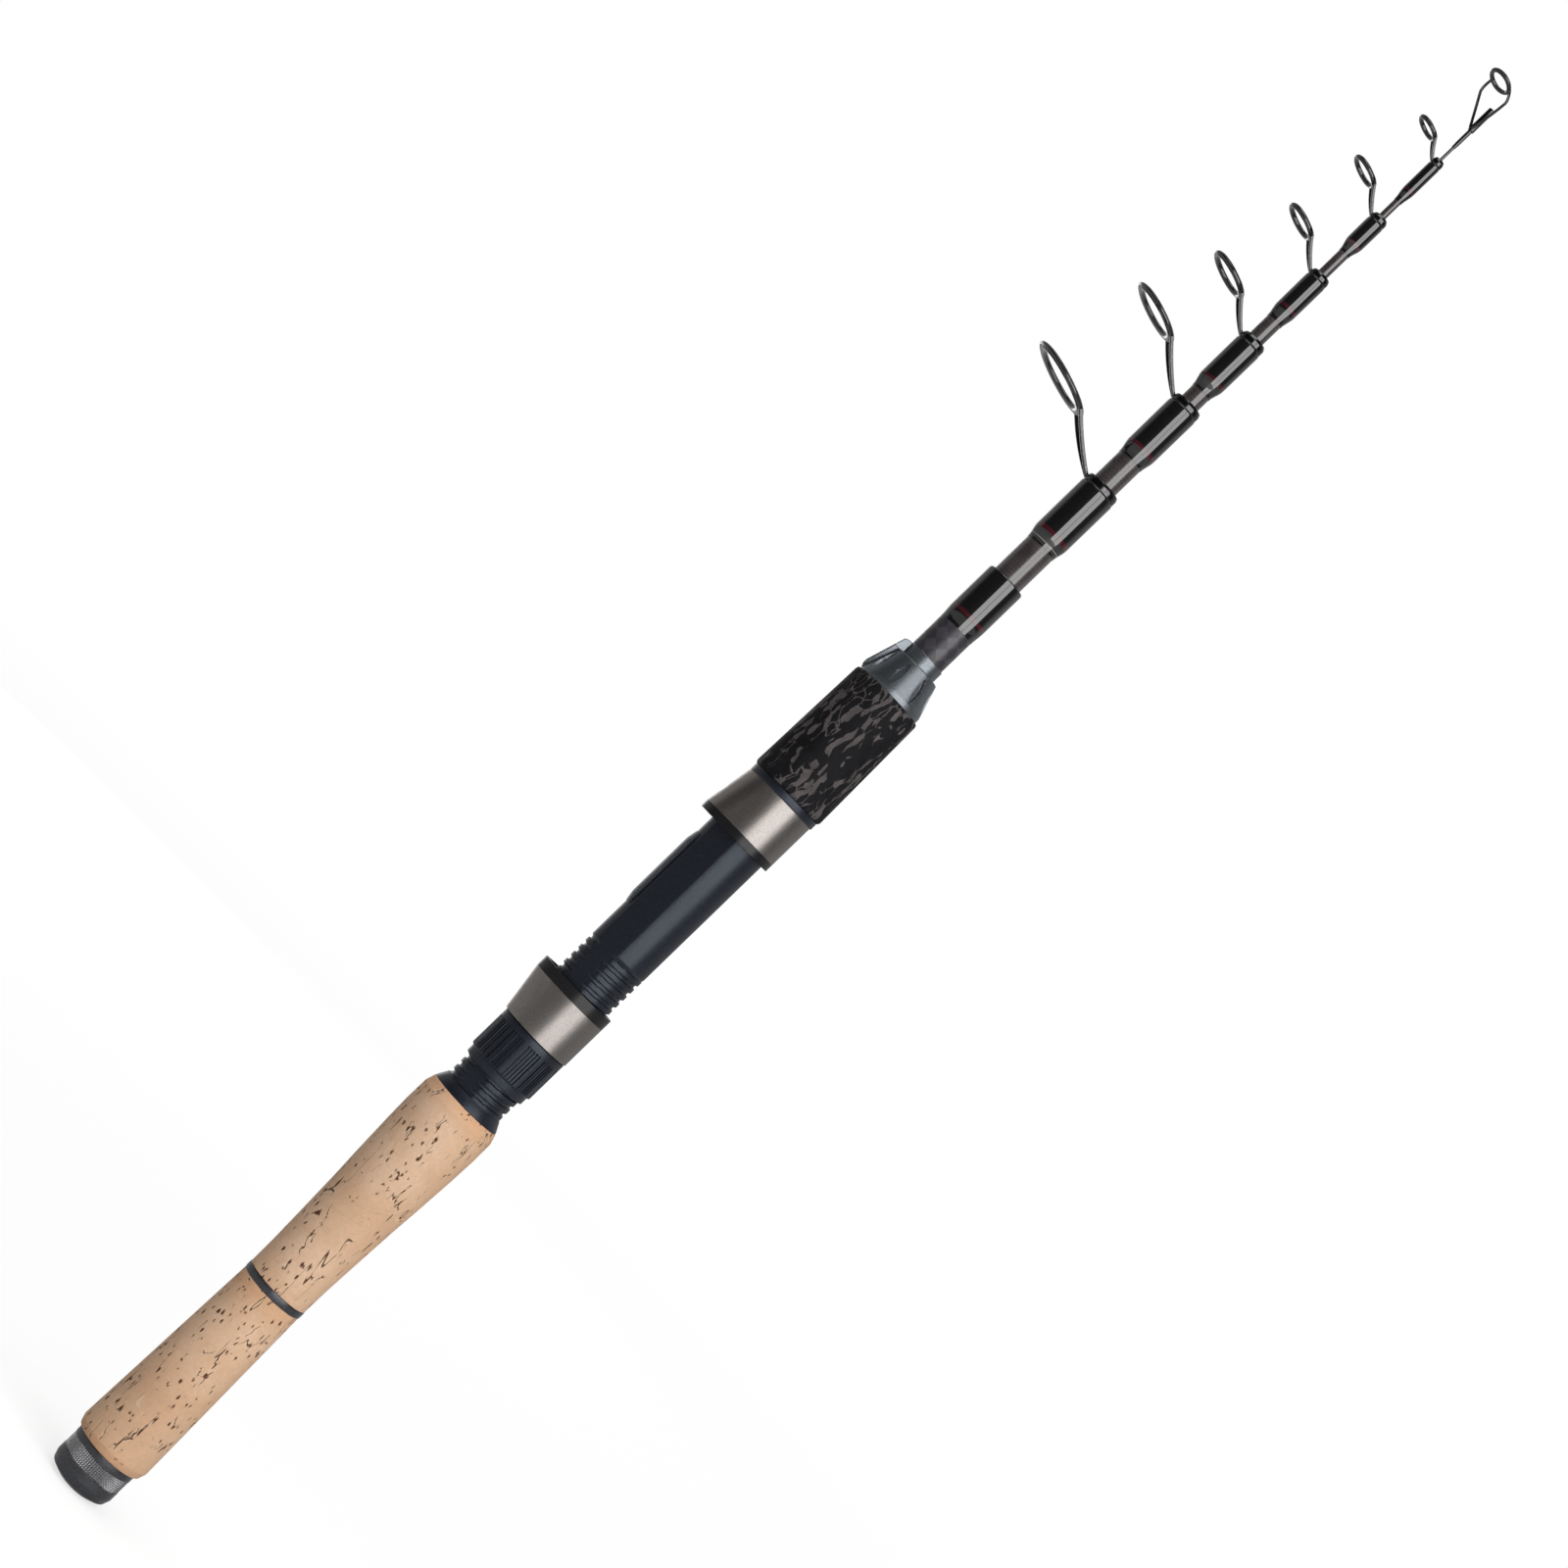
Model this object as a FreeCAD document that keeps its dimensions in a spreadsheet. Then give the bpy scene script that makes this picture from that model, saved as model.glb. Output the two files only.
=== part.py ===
import FreeCAD, Part
import Sketcher
import os

# Telescopic fishing rod, closed, standing on its butt end.
# +Z runs along the rod to the tip, z = 0 is the face of the butt pad, and the line guides
# and the reel foot are on the -X side. Millimetres.

doc = FreeCAD.newDocument("telescopic_rod")
sheet = doc.addObject("Spreadsheet::Sheet", "sizes")

SIZES = [
    # Butt cap and what it screws on
    ("end_pad_radius", 6.6),
    ("end_pad_thickness", 1.7),
    ("end_pad_proud", 0.6),
    ("end_pad_edge", 0.5),
    ("cap_face_radius", 7.4),
    ("cap_cone_radius", 9.6),
    ("cap_cone_top", 3.2),
    ("cap_radius", 10.25),
    ("cap_shoulder", 0.5),
    ("cap_front", 13.4),
    ("cap_floor", 3.1),
    ("buffer_radius", 7.9),
    ("buffer_thickness", 3.3),
    ("sleeve_thread_radius", 8.5),
    ("sleeve_start", 6.9),
    ("sleeve_body_radius", 7.6),
    ("sleeve_body_end", 30.0),
    ("sleeve_collar_radius", 9.4),
    ("sleeve_collar_length", 1.2),
    ("o_ring_section", 0.9),
    # Cork and foam grips
    ("rear_cork_radius", 11.95),
    ("rear_cork_front_radius", 10.2),
    ("rear_cork_front", 75.8),
    ("cork_shoulder", 2.1),
    ("check_ring_radius", 10.35),
    ("check_ring_length", 2.4),
    ("check_ring_bevel", 0.3),
    ("front_cork_rear_radius", 10.2),
    ("front_cork_waist_radius", 10.75),
    ("front_cork_swell_radius", 12.7),
    ("front_cork_waist_place", 20.0),
    ("front_cork_swell_place", 62.0),
    ("front_cork_length", 71.8),
    ("front_cork_end_radius", 11.7),
    ("front_cork_shoulder", 3.0),
    ("front_cork_shoulder_radius", 12.5),
    ("collar_cone_length", 3.1),
    ("collar_cone_front_radius", 10.0),
    ("foregrip_collar_radius", 11.8),
    ("foregrip_collar_length", 2.4),
    ("foregrip_rear_radius", 12.35),
    ("foregrip_front_radius", 11.5),
    ("foregrip_length", 38.6),
    ("foregrip_round", 0.8),
    # Winding check: the cone in front of the fore grip
    ("cone_rear_radius", 10.7),
    ("cone_front_radius", 7.5),
    ("cone_land", 1.6),
    ("cone_length", 11.3),
    ("cone_front_round", 0.4),
    ("cone_collar_radius", 6.05),
    ("cone_collar_length", 3.7),
    ("keeper_crest", 11.3),
    ("keeper_flat", 2.9),
    ("keeper_reach", 7.8),
    ("keeper_half_width", 2.1),
    ("keeper_round", 0.7),
    ("leaf_count", 9),
    ("leaf_start", 1.8),
    ("leaf_length", 8.2),
    ("leaf_width", 2.0),
    ("leaf_depth", 0.6),
    ("leaf_turn", 10.0),
    # Reel seat barrel
    ("barrel_radius", 9.67),
    ("barrel_bore_radius", 7.5),
    ("barrel_length", 122.9),
    ("flat_distance", 8.8),
    ("flat_turn", 27.0),
    ("arbor_length", 34.0),
    ("arbor_inset", 6.0),
    # Raised pad under the reel foot
    ("foot_pad_inset", 5.7),
    ("foot_pad_length", 27.2),
    ("foot_pad_height", 0.7),
    ("foot_pad_edge", 0.15),
    ("foot_pad_half_width", 4.6),
    ("foot_pad_slope", 3.2),
    # Hoods that hold the reel foot
    ("hood_main_radius", 11.4),
    ("hood_reach", 14.0),
    ("hood_top_radius", 9.8),
    ("hood_wall", 1.0),
    ("hood_glue_gap", 0.04),
    ("hood_end_floor", 1.0),
    ("hood_window_place", 7.9),
    ("hood_window_length", 2.7),
    ("hood_window_width", 3.6),
    ("pocket_half_width", 5.4),
    ("pocket_top_radius", 9.2),
    ("pocket_reach", 12.4),
    ("pocket_end_reach", 10.6),
    ("pocket_root", 7.6),
    ("moving_hood_lip", 3.4),
    ("moving_hood_length", 14.2),
    ("moving_hood_end_reach", 11.7),
    ("moving_pocket_depth", 14.0),
    ("moving_hood_clearance", 0.07),
    ("fixed_hood_lip", 2.4),
    ("fixed_hood_length", 14.3),
    ("fixed_hood_end_reach", 11.8),
    ("fixed_pocket_depth", 12.0),
    ("fixed_hood_clearance", 0.03),
    # Lock nut
    ("nut_place", 10.75),
    ("nut_gap", 0.25),
    ("nut_length", 15.9),
    ("nut_skirt_length", 2.4),
    ("nut_skirt_radius", 10.5),
    ("nut_radius", 11.15),
    ("nut_clearance", 0.08),
    ("nut_land", 2.1),
    ("nut_edge", 0.5),
    ("nut_rib_length", 10.8),
    ("nut_rib_groups", 11),
    ("nut_groove_width", 0.55),
    ("nut_groove_depth", 0.4),
    ("nut_groove_step", 1.05),
    # Fits between the nested tubes and on them
    ("seat_rise", 0.12),
    ("seat_length", 35.0),
    ("slide_clearance", 0.05),
    ("glue_gap", 0.03),
    ("screw_clearance", 0.08),
    ("running_gap", 0.15),
    ("grip_blank_start", 8.0),
    # Binding at the front of each tube
    ("wrap_flare", 3.5),
    ("wrap_round", 1.6),
    ("wrap_start_height", 0.12),
    # Line guides
    ("ring_lean", 15.5),
    ("seat_lip", 0.12),
    ("ring_land", 0.6),
    ("leg_root_rise", 0.35),
    ("leg_gap", 0.1),
    ("seat_share", 0.6),
    ("tip_top_overhang", 1.0),
    ("tip_tube_wall", 0.45),
    ("tip_roll", 45.0),
    # How far a cut runs past the material, and how far a flush ring stays under its seat
    ("cut_margin", 1.0),
    ("flush_gap", 0.02),
]

# One row per tube, counted from the grip: its front end and the start of its binding, both
# ahead of the fore grip, its radius and the binding's radius
TUBES = [
    (45.6, 26.3, 5.67, 6.10),
    (82.9, 58.5, 4.80, 5.70),
    (115.3, 92.8, 4.04, 4.90),
    (140.8, 120.0, 3.12, 4.19),
    (166.3, 148.1, 2.50, 3.31),
    (189.2, 174.9, 1.66, 2.73),
    (211.7, 195.4, 1.13, 1.86),
    (230.7, 216.8, 0.47, 0.68),
]

# One row per guide: height of the ring above the rod's axis, its place ahead of the tube's
# front end, outer radius, bore, ring thickness, foot length, leg width and leg thickness, and
# the angle from the ring's lowest point to where a leg meets it
GUIDES = [
    (29.3, 12.2, 11.90, 8.75, 1.5, 2.4, 1.25, 0.75, 30.0),
    (24.3, 11.2, 9.50, 6.75, 1.4, 2.2, 1.15, 0.70, 30.0),
    (17.8, 7.4, 7.55, 5.75, 1.4, 2.4, 1.05, 0.65, 30.0),
    (14.4, 6.3, 5.95, 4.55, 1.3, 2.0, 1.00, 0.60, 30.0),
    (12.1, 5.6, 5.30, 4.05, 1.2, 2.0, 0.95, 0.55, 30.0),
    (8.7, 3.9, 4.20, 3.05, 1.1, 2.0, 0.90, 0.50, 30.0),
    (5.8, 5.8, 4.15, 2.85, 1.1, 8.4, 0.90, 0.55, 75.0),
]

TUBE_FIELDS = ["reach", "wrap_place", "blank_radius", "wrap_radius"]
GUIDE_FIELDS = [
    "height", "ahead", "outer", "bore", "thick", "foot", "leg_width", "leg_thick", "leg_spread"]
TIP = len(TUBES)


def fill_sheet():
    rows = list(SIZES)
    for count, tube in enumerate(TUBES, start=1):
        rows += [(f"tube_{count}_{field}", value) for field, value in zip(TUBE_FIELDS, tube)]
    for count, guide in enumerate(GUIDES, start=1):
        rows += [(f"guide_{count}_{field}", value) for field, value in zip(GUIDE_FIELDS, guide)]
    for row, (alias, value) in enumerate(rows, start=1):
        cell = f"A{row}"
        sheet.set(cell, str(value))
        sheet.setAlias(cell, alias)
    doc.recompute()


def size(alias):
    return f"sizes.{alias}"


def number(text):
    return float(sheet.evalExpression(str(text)))


def bind(feature, path, text):
    feature.setExpression(path, str(text))


# Bodies, planes and sketches


def new_body(label, base_z="0", turn=None):
    body = doc.addObject("PartDesign::Body", label)
    body.Label = label
    if turn:
        axis, angle = turn
        body.Placement = FreeCAD.Placement(FreeCAD.Vector(), FreeCAD.Rotation(axis, number(angle)))
        bind(body, "Placement.Rotation.Angle", angle)
    bind(body, "Placement.Base.z", base_z)
    return body


def origin_plane(body, role):
    for feature in body.Origin.OriginFeatures:
        if feature.Role == role:
            return feature
    raise ValueError(role)


def new_sketch(body, name, role="XZ_Plane", offset=None, spin=None):
    sketch = body.newObject("Sketcher::SketchObject", f"{body.Name}_{name}")
    sketch.AttachmentSupport = [(origin_plane(body, role), "")]
    sketch.MapMode = "FlatFace"
    if spin:
        axis, angle = spin
        turn = FreeCAD.Rotation(axis, number(angle))
        sketch.AttachmentOffset = FreeCAD.Placement(FreeCAD.Vector(), turn)
        bind(sketch, "AttachmentOffset.Rotation.Angle", angle)
    for letter, text in (offset or {}).items():
        bind(sketch, f"AttachmentOffset.Base.{letter}", text)
    return sketch


def pin_point(sketch, geometry, end, across, along):
    """Hold one point of the sketch at two sizes worked out from the sheet."""
    for kind, text, axis in (("DistanceX", across, -2), ("DistanceY", along, -1)):
        if text == "0":
            sketch.addConstraint(Sketcher.Constraint("PointOnObject", geometry, end, axis))
            continue
        name = f"{kind[-1].lower()}_{geometry + 1}_{end}"
        index = sketch.addConstraint(Sketcher.Constraint(kind, -1, 1, geometry, end, number(text)))
        sketch.renameConstraint(index, name)
        bind(sketch, f"Constraints.{name}", text)


def outline(sketch, steps):
    """Closed outline. A step is a corner (across, along), or ("via", across, along), a point
    that an arc passes through between the corners before and after it."""
    corners = [step for step in steps if step[0] != "via"]
    spot = {}
    for corner in corners:
        spot[corner] = FreeCAD.Vector(number(corner[0]), number(corner[1]), 0)
    ends = []
    for place, step in enumerate(steps):
        if step[0] == "via":
            continue
        following = steps[(place + 1) % len(steps)]
        if following[0] == "via":
            finish = steps[(place + 2) % len(steps)]
            middle = FreeCAD.Vector(number(following[1]), number(following[2]), 0)
            edge = sketch.addGeometry(Part.Arc(spot[step], middle, spot[finish]), False)
            first = 1 if (sketch.getPoint(edge, 1) - spot[step]).Length < 1e-4 else 2
            point = sketch.addGeometry(Part.Point(middle), True)
            sketch.addConstraint(Sketcher.Constraint("PointOnObject", point, 1, edge))
            pin_point(sketch, point, 1, following[1], following[2])
        else:
            edge = sketch.addGeometry(Part.LineSegment(spot[step], spot[following]), False)
            first = 1
        ends.append((edge, first, step))
    for place, (edge, first, step) in enumerate(ends):
        last_edge, last_first, _ = ends[place - 1]
        sketch.addConstraint(
            Sketcher.Constraint("Coincident", last_edge, 3 - last_first, edge, first))
        pin_point(sketch, edge, first, step[0], step[1])


def circle(sketch, radius):
    ring = sketch.addGeometry(Part.Circle(FreeCAD.Vector(), FreeCAD.Vector(0, 0, 1), number(radius)))
    sketch.addConstraint(Sketcher.Constraint("Coincident", ring, 3, -1, 1))
    index = sketch.addConstraint(Sketcher.Constraint("Radius", ring, number(radius)))
    sketch.renameConstraint(index, "radius")
    bind(sketch, "Constraints.radius", radius)


# Features


def revolve(body, sketch, kind="Revolution"):
    feature = body.newObject(f"PartDesign::{kind}", f"{sketch.Name}_turned")
    feature.Profile = sketch
    feature.ReferenceAxis = (sketch, ["V_Axis"])
    feature.Angle = 360
    return feature


def extrude(body, sketch, length, kind="Pad", backwards=False):
    feature = body.newObject(f"PartDesign::{kind}", f"{sketch.Name}_{kind.lower()}")
    feature.Profile = sketch
    bind(feature, "Length", length)
    feature.Reversed = backwards
    return feature


def loft(body, rear, front, kind="AdditiveLoft"):
    feature = body.newObject(f"PartDesign::{kind}", f"{rear.Name}_loft")
    feature.Profile = rear
    feature.Sections = [front]
    feature.Ruled = True
    return feature


def polar(body, cut, count):
    pattern = body.newObject("PartDesign::PolarPattern", f"{cut.Name}_around")
    pattern.Originals = [cut]
    pattern.Axis = (origin_plane(body, "Z_Axis"), [""])
    pattern.Angle = 360
    bind(pattern, "Occurrences", count)
    body.Tip = pattern
    return pattern


def lathe(label, steps, base_z="0"):
    body = new_body(label, base_z)
    sketch = new_sketch(body, "profile")
    outline(sketch, steps)
    revolve(body, sketch)
    return body


def blank_radius(tube):
    return size(f"tube_{tube}_blank_radius")


def around_blank(tube):
    """Bore of a piece that is glued on a tube."""
    return f"({blank_radius(tube)} + sizes.glue_gap)"


def flange(inner, outer, rear, front):
    """Plain ring: two bores with their heights are the same piece's two ends."""
    return [(inner, rear), (outer, rear), (outer, front), (inner, front)]


# Heights that more than one piece shares

REAR_CORK_FRONT = size("rear_cork_front")
FRONT_CORK_REAR = f"({REAR_CORK_FRONT} + sizes.check_ring_length)"
BARREL_REAR = f"({FRONT_CORK_REAR} + sizes.front_cork_length)"
BARREL_FRONT = f"({BARREL_REAR} + sizes.barrel_length)"
FOREGRIP_REAR = BARREL_FRONT
FIXED_HOOD_END = f"({FOREGRIP_REAR} - sizes.foregrip_collar_length)"
FIXED_HOOD_MOUTH = f"({FIXED_HOOD_END} - sizes.fixed_hood_length - sizes.fixed_hood_lip)"
FOREGRIP_FRONT = f"({FOREGRIP_REAR} + sizes.foregrip_length)"
CONE_FRONT = f"({FOREGRIP_FRONT} + sizes.cone_length)"
BUFFER_TOP = "(sizes.cap_floor + sizes.running_gap + sizes.buffer_thickness)"
SECTION_REST = f"({BUFFER_TOP} + sizes.running_gap)"
NUT_REAR = f"({BARREL_REAR} + sizes.nut_place)"
NUT_FRONT = f"({NUT_REAR} + sizes.nut_length)"
MOVING_HOOD_END = f"({NUT_FRONT} + sizes.nut_gap)"
MOVING_HOOD_MOUTH = f"({MOVING_HOOD_END} + sizes.moving_hood_length + sizes.moving_hood_lip)"


def tube_front(tube):
    return f"({FOREGRIP_FRONT} + sizes.tube_{tube}_reach)"


def wrap_rear(tube):
    return f"({FOREGRIP_FRONT} + sizes.tube_{tube}_wrap_place)"


# Butt cap


def make_end_pad():
    radius = size("end_pad_radius")
    top = size("end_pad_thickness")
    edge = size("end_pad_edge")
    lathe("butt_pad", [
        ("0", "0"),
        (f"{radius} - {edge}", "0"),
        (radius, edge),
        (radius, top),
        ("0", top)])


def make_butt_cap():
    face = size("end_pad_proud")
    recess = "(sizes.end_pad_thickness + sizes.glue_gap)"
    recess_radius = "(sizes.end_pad_radius + sizes.glue_gap)"
    band = size("cap_radius")
    thread = "(sizes.sleeve_thread_radius + sizes.screw_clearance)"
    front = size("cap_front")
    lathe("butt_cap", [
        ("0", recess),
        (recess_radius, recess),
        (recess_radius, face),
        (size("cap_face_radius"), face),
        (size("cap_cone_radius"), size("cap_cone_top")),
        (band, "sizes.cap_cone_top + sizes.cap_shoulder"),
        (band, front),
        (thread, front),
        (thread, size("cap_floor")),
        ("0", size("cap_floor"))])


def make_buffer():
    low = "(sizes.cap_floor + sizes.running_gap)"
    lathe("butt_buffer", flange("0", size("buffer_radius"), low, BUFFER_TOP))


def make_butt_sleeve():
    seat = "(sizes.cap_front + sizes.running_gap)"
    thread = size("sleeve_thread_radius")
    start = size("sleeve_start")
    end = size("sleeve_body_end")
    collar_end = f"({seat} + sizes.sleeve_collar_length)"
    groove = "(sizes.sleeve_thread_radius - sizes.o_ring_section / 2)"
    groove_low = f"({seat} - sizes.o_ring_section - 2 * sizes.glue_gap)"
    lathe("butt_sleeve", [
        (around_blank(1), start),
        (thread, start),
        (thread, groove_low),
        (groove, groove_low),
        (groove, seat),
        (size("sleeve_collar_radius"), seat),
        (size("sleeve_collar_radius"), collar_end),
        (size("sleeve_body_radius"), collar_end),
        (size("sleeve_body_radius"), end),
        (around_blank(1), end)])
    inner = f"({groove} + sizes.glue_gap)"
    low = f"({groove_low} + sizes.glue_gap)"
    high = f"({seat} - sizes.glue_gap)"
    outer = f"({thread} - sizes.flush_gap)"
    lathe("butt_o_ring", flange(inner, outer, low, high))


# Grips


def make_rear_grip():
    seat = "(sizes.cap_front + sizes.running_gap)"
    collar_end = f"({seat} + sizes.sleeve_collar_length)"
    collar = "(sizes.sleeve_collar_radius + sizes.glue_gap)"
    body = "(sizes.sleeve_body_radius + sizes.glue_gap)"
    body_end = "(sizes.sleeve_body_end + sizes.glue_gap)"
    shoulder = size("cork_shoulder")
    radius = size("rear_cork_radius")
    front = REAR_CORK_FRONT
    end_radius = size("rear_cork_front_radius")
    lathe("rear_grip", [
        (collar, seat),
        (f"{radius} - {shoulder}", seat),
        (f"{radius} - {shoulder} / 3", f"{seat} + {shoulder} / 3"),
        (radius, f"{seat} + {shoulder}"),
        (end_radius, front),
        (around_blank(1), front),
        (around_blank(1), body_end),
        (body, body_end),
        (body, f"{collar_end} + sizes.glue_gap"),
        (collar, f"{collar_end} + sizes.glue_gap")])


def make_check_ring():
    rear = REAR_CORK_FRONT
    front = FRONT_CORK_REAR
    radius = size("check_ring_radius")
    bevel = size("check_ring_bevel")
    bore = around_blank(1)
    lathe("grip_check_ring", [
        (bore, rear),
        (f"{radius} - {bevel}", rear),
        (radius, f"{rear} + {bevel}"),
        (radius, f"{front} - {bevel}"),
        (f"{radius} - {bevel}", front),
        (bore, front)])


def make_front_grip():
    rear = FRONT_CORK_REAR
    front = BARREL_REAR
    waist = f"({rear} + sizes.front_cork_waist_place)"
    swell = f"({rear} + sizes.front_cork_swell_place)"
    shoulder = f"({front} - sizes.front_cork_shoulder)"
    bore = around_blank(1)
    lathe("front_grip", [
        (bore, rear),
        (size("front_cork_rear_radius"), rear),
        (size("front_cork_waist_radius"), waist),
        (size("front_cork_swell_radius"), swell),
        (size("front_cork_shoulder_radius"), shoulder),
        (size("front_cork_end_radius"), front),
        (bore, front)])


def make_foregrip():
    rear = FOREGRIP_REAR
    front = FOREGRIP_FRONT
    edge = size("foregrip_round")
    rear_radius = size("foregrip_rear_radius")
    front_radius = size("foregrip_front_radius")
    bore = around_blank(1)
    lathe("foregrip", [
        (bore, rear),
        (f"{rear_radius} - {edge}", rear),
        (rear_radius, f"{rear} + {edge}"),
        (front_radius, f"{front} - {edge}"),
        (f"{front_radius} - {edge}", front),
        (bore, front)])


def make_winding_check():
    """Cone in front of the fore grip, with a ring of leaf-shaped recesses cut in its slope, a
    collar round the tube and a raised lug on the guides' side."""
    turn = size("leaf_turn")
    body = new_body("winding_check", turn=(FreeCAD.Vector(0, 0, -1), turn))
    rear = FOREGRIP_FRONT
    land = f"({rear} + sizes.cone_land)"
    radius = size("cone_rear_radius")
    tip = size("cone_front_radius")
    edge = size("cone_front_round")
    bore = around_blank(1)
    collar = size("cone_collar_radius")
    collar_front = f"({CONE_FRONT} + sizes.cone_collar_length)"
    sketch = new_sketch(body, "profile")
    outline(sketch, [
        (bore, rear),
        (radius, rear),
        (radius, land),
        (tip, f"{CONE_FRONT} - {edge}"),
        (f"{tip} - {edge}", CONE_FRONT),
        (collar, CONE_FRONT),
        (collar, collar_front),
        (bore, collar_front)])
    revolve(body, sketch)
    # The leaf is drawn on a plane that leans with the slope and lies under its surface
    fall = "(sizes.cone_rear_radius - sizes.cone_front_radius)"
    slope = f"atan({fall} / (sizes.cone_length - sizes.cone_land))"
    leaf = new_sketch(
        body, "leaf", offset={"y": land, "z": f"{radius} - sizes.leaf_depth"},
        spin=(FreeCAD.Vector(1, 0, 0), f"-{slope}"))
    half = "(sizes.leaf_width / 2)"
    start = "(sizes.leaf_start - sizes.cone_land)"
    middle = f"({start} + sizes.leaf_length / 2)"
    outline(leaf, [
        ("0", f"{start}"),
        ("via", half, middle),
        ("0", f"{start} + sizes.leaf_length"),
        ("via", f"-{half}", middle)])
    cut = extrude(body, leaf, "2 * sizes.leaf_depth + sizes.cut_margin", "Pocket", backwards=True)
    polar(body, cut, size("leaf_count"))

    # The lug takes the place of one leaf, runs along the cone and ends with the collar. Its
    # plane turns back by as much as the body is turned
    low = f"({rear} + {edge})"
    root = f"(({bore} + {collar}) / 2)"
    crest = size("keeper_crest")
    reach = size("keeper_reach")
    keeper_round = size("keeper_round")
    lug = new_sketch(
        body, "keeper",
        offset={"x": f"-sizes.keeper_half_width * sin({turn})",
                "z": f"-sizes.keeper_half_width * cos({turn})"},
        spin=(FreeCAD.Vector(0, 1, 0), turn))
    outline(lug, [
        (f"-{root}", low),
        (f"-{crest}", low),
        (f"-{crest}", f"{rear} + sizes.keeper_flat"),
        (f"-{reach}", f"{collar_front} - {keeper_round}"),
        (f"-{reach} + {keeper_round}", collar_front),
        (f"-{root}", collar_front)])
    extrude(body, lug, "2 * sizes.keeper_half_width")
    return body


# Reel seat


def barrel_outline(sketch, radius, flat):
    """Round section with two flats that face partly towards the reel foot."""
    half = f"acos({flat} / {radius})"
    low = f"(sizes.flat_turn * 1 deg - {half})"
    high = f"(sizes.flat_turn * 1 deg + {half})"
    low_x = f"-{radius} * sin({low})"
    low_y = f"{radius} * cos({low})"
    high_x = f"-{radius} * sin({high})"
    high_y = f"{radius} * cos({high})"
    outline(sketch, [
        (high_x, f"-{high_y}"),
        (low_x, f"-{low_y}"),
        ("via", radius, "0"),
        (low_x, low_y),
        (high_x, high_y),
        ("via", f"-{radius}", "0")])


def make_barrel():
    body = new_body("reel_seat_barrel", BARREL_REAR)
    sketch = new_sketch(body, "section", "XY_Plane")
    barrel_outline(sketch, size("barrel_radius"), size("flat_distance"))
    extrude(body, sketch, size("barrel_length"))
    bore = new_sketch(body, "bore", "XY_Plane")
    circle(bore, size("barrel_bore_radius"))
    extrude(body, bore, size("barrel_length"), "Pocket", backwards=True)
    return body


def make_arbors():
    rear_low = f"({BARREL_REAR} + sizes.arbor_inset)"
    front_low = f"({BARREL_FRONT} - sizes.arbor_inset - sizes.arbor_length)"
    outer = "(sizes.barrel_bore_radius - sizes.glue_gap)"
    for label, low in (("rear_arbor", rear_low), ("front_arbor", front_low)):
        lathe(label, flange(around_blank(1), outer, low, f"{low} + sizes.arbor_length"))


def make_collar_cone():
    rear = BARREL_REAR
    front = f"({rear} + sizes.collar_cone_length)"
    bore = "(sizes.barrel_radius + sizes.glue_gap)"
    lathe("grip_end_collar", [
        (bore, rear),
        (size("front_cork_end_radius"), rear),
        (size("collar_cone_front_radius"), front),
        (bore, front)])


def make_foregrip_collar():
    bore = "(sizes.barrel_radius + sizes.glue_gap)"
    radius = size("foregrip_collar_radius")
    bevel = size("check_ring_bevel")
    lathe("foregrip_collar", [
        (bore, FIXED_HOOD_END),
        (f"{radius} - {bevel}", FIXED_HOOD_END),
        (radius, f"{FIXED_HOOD_END} + {bevel}"),
        (radius, f"{FOREGRIP_REAR} - {bevel}"),
        (f"{radius} - {bevel}", FOREGRIP_REAR),
        (bore, FOREGRIP_REAR)])


def make_foot_pad():
    """Raised pad on the barrel between the hoods, with sloped ends. Its faces follow the barrel."""
    rear = f"{FIXED_HOOD_MOUTH} - sizes.foot_pad_inset - sizes.foot_pad_length"
    body = new_body("reel_foot_pad", rear)
    low = "(sizes.barrel_radius + sizes.glue_gap)"
    high = f"({low} + sizes.foot_pad_height)"
    length = size("foot_pad_length")
    slope = size("foot_pad_slope")
    sketch = new_sketch(body, "profile")
    outline(sketch, [
        (f"-{low}", "0"),
        (f"-({low} + sizes.foot_pad_edge)", "0"),
        (f"-{high}", slope),
        (f"-{high}", f"{length} - {slope}"),
        (f"-({low} + sizes.foot_pad_edge)", length),
        (f"-{low}", length)])
    turned = revolve(body, sketch)
    half_width = size("foot_pad_half_width")
    turned.Midplane = True
    bind(turned, "Angle", f"2 * asin({half_width} / {low})")
    return body


def egg(reach, main, top):
    """Outline of a hood: a round back and a smaller round top that reaches out over the foot."""
    lean = f"acos(({main} - {top}) / ({reach} - {top}))"
    centre = f"({reach} - {top})"
    return [
        (f"-{main} * cos({lean})", f"-{main} * sin({lean})"),
        ("via", main, "0"),
        (f"-{main} * cos({lean})", f"{main} * sin({lean})"),
        (f"-({centre} + {top} * cos({lean}))", f"{top} * sin({lean})"),
        ("via", f"-{reach}", "0"),
        (f"-({centre} + {top} * cos({lean}))", f"-{top} * sin({lean})")]


def tunnel(reach):
    """Outline of the pocket that takes the end of the reel foot."""
    half = size("pocket_half_width")
    root = size("pocket_root")
    arc = size("pocket_top_radius")
    shoulder = f"({reach} - {arc} + sqrt({arc} * {arc} - {half} * {half}))"
    return [
        (f"-{root}", f"-{half}"),
        (f"-{root}", half),
        (f"-{shoulder}", half),
        ("via", f"-{reach}", "0"),
        (f"-{shoulder}", f"-{half}")]


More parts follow.
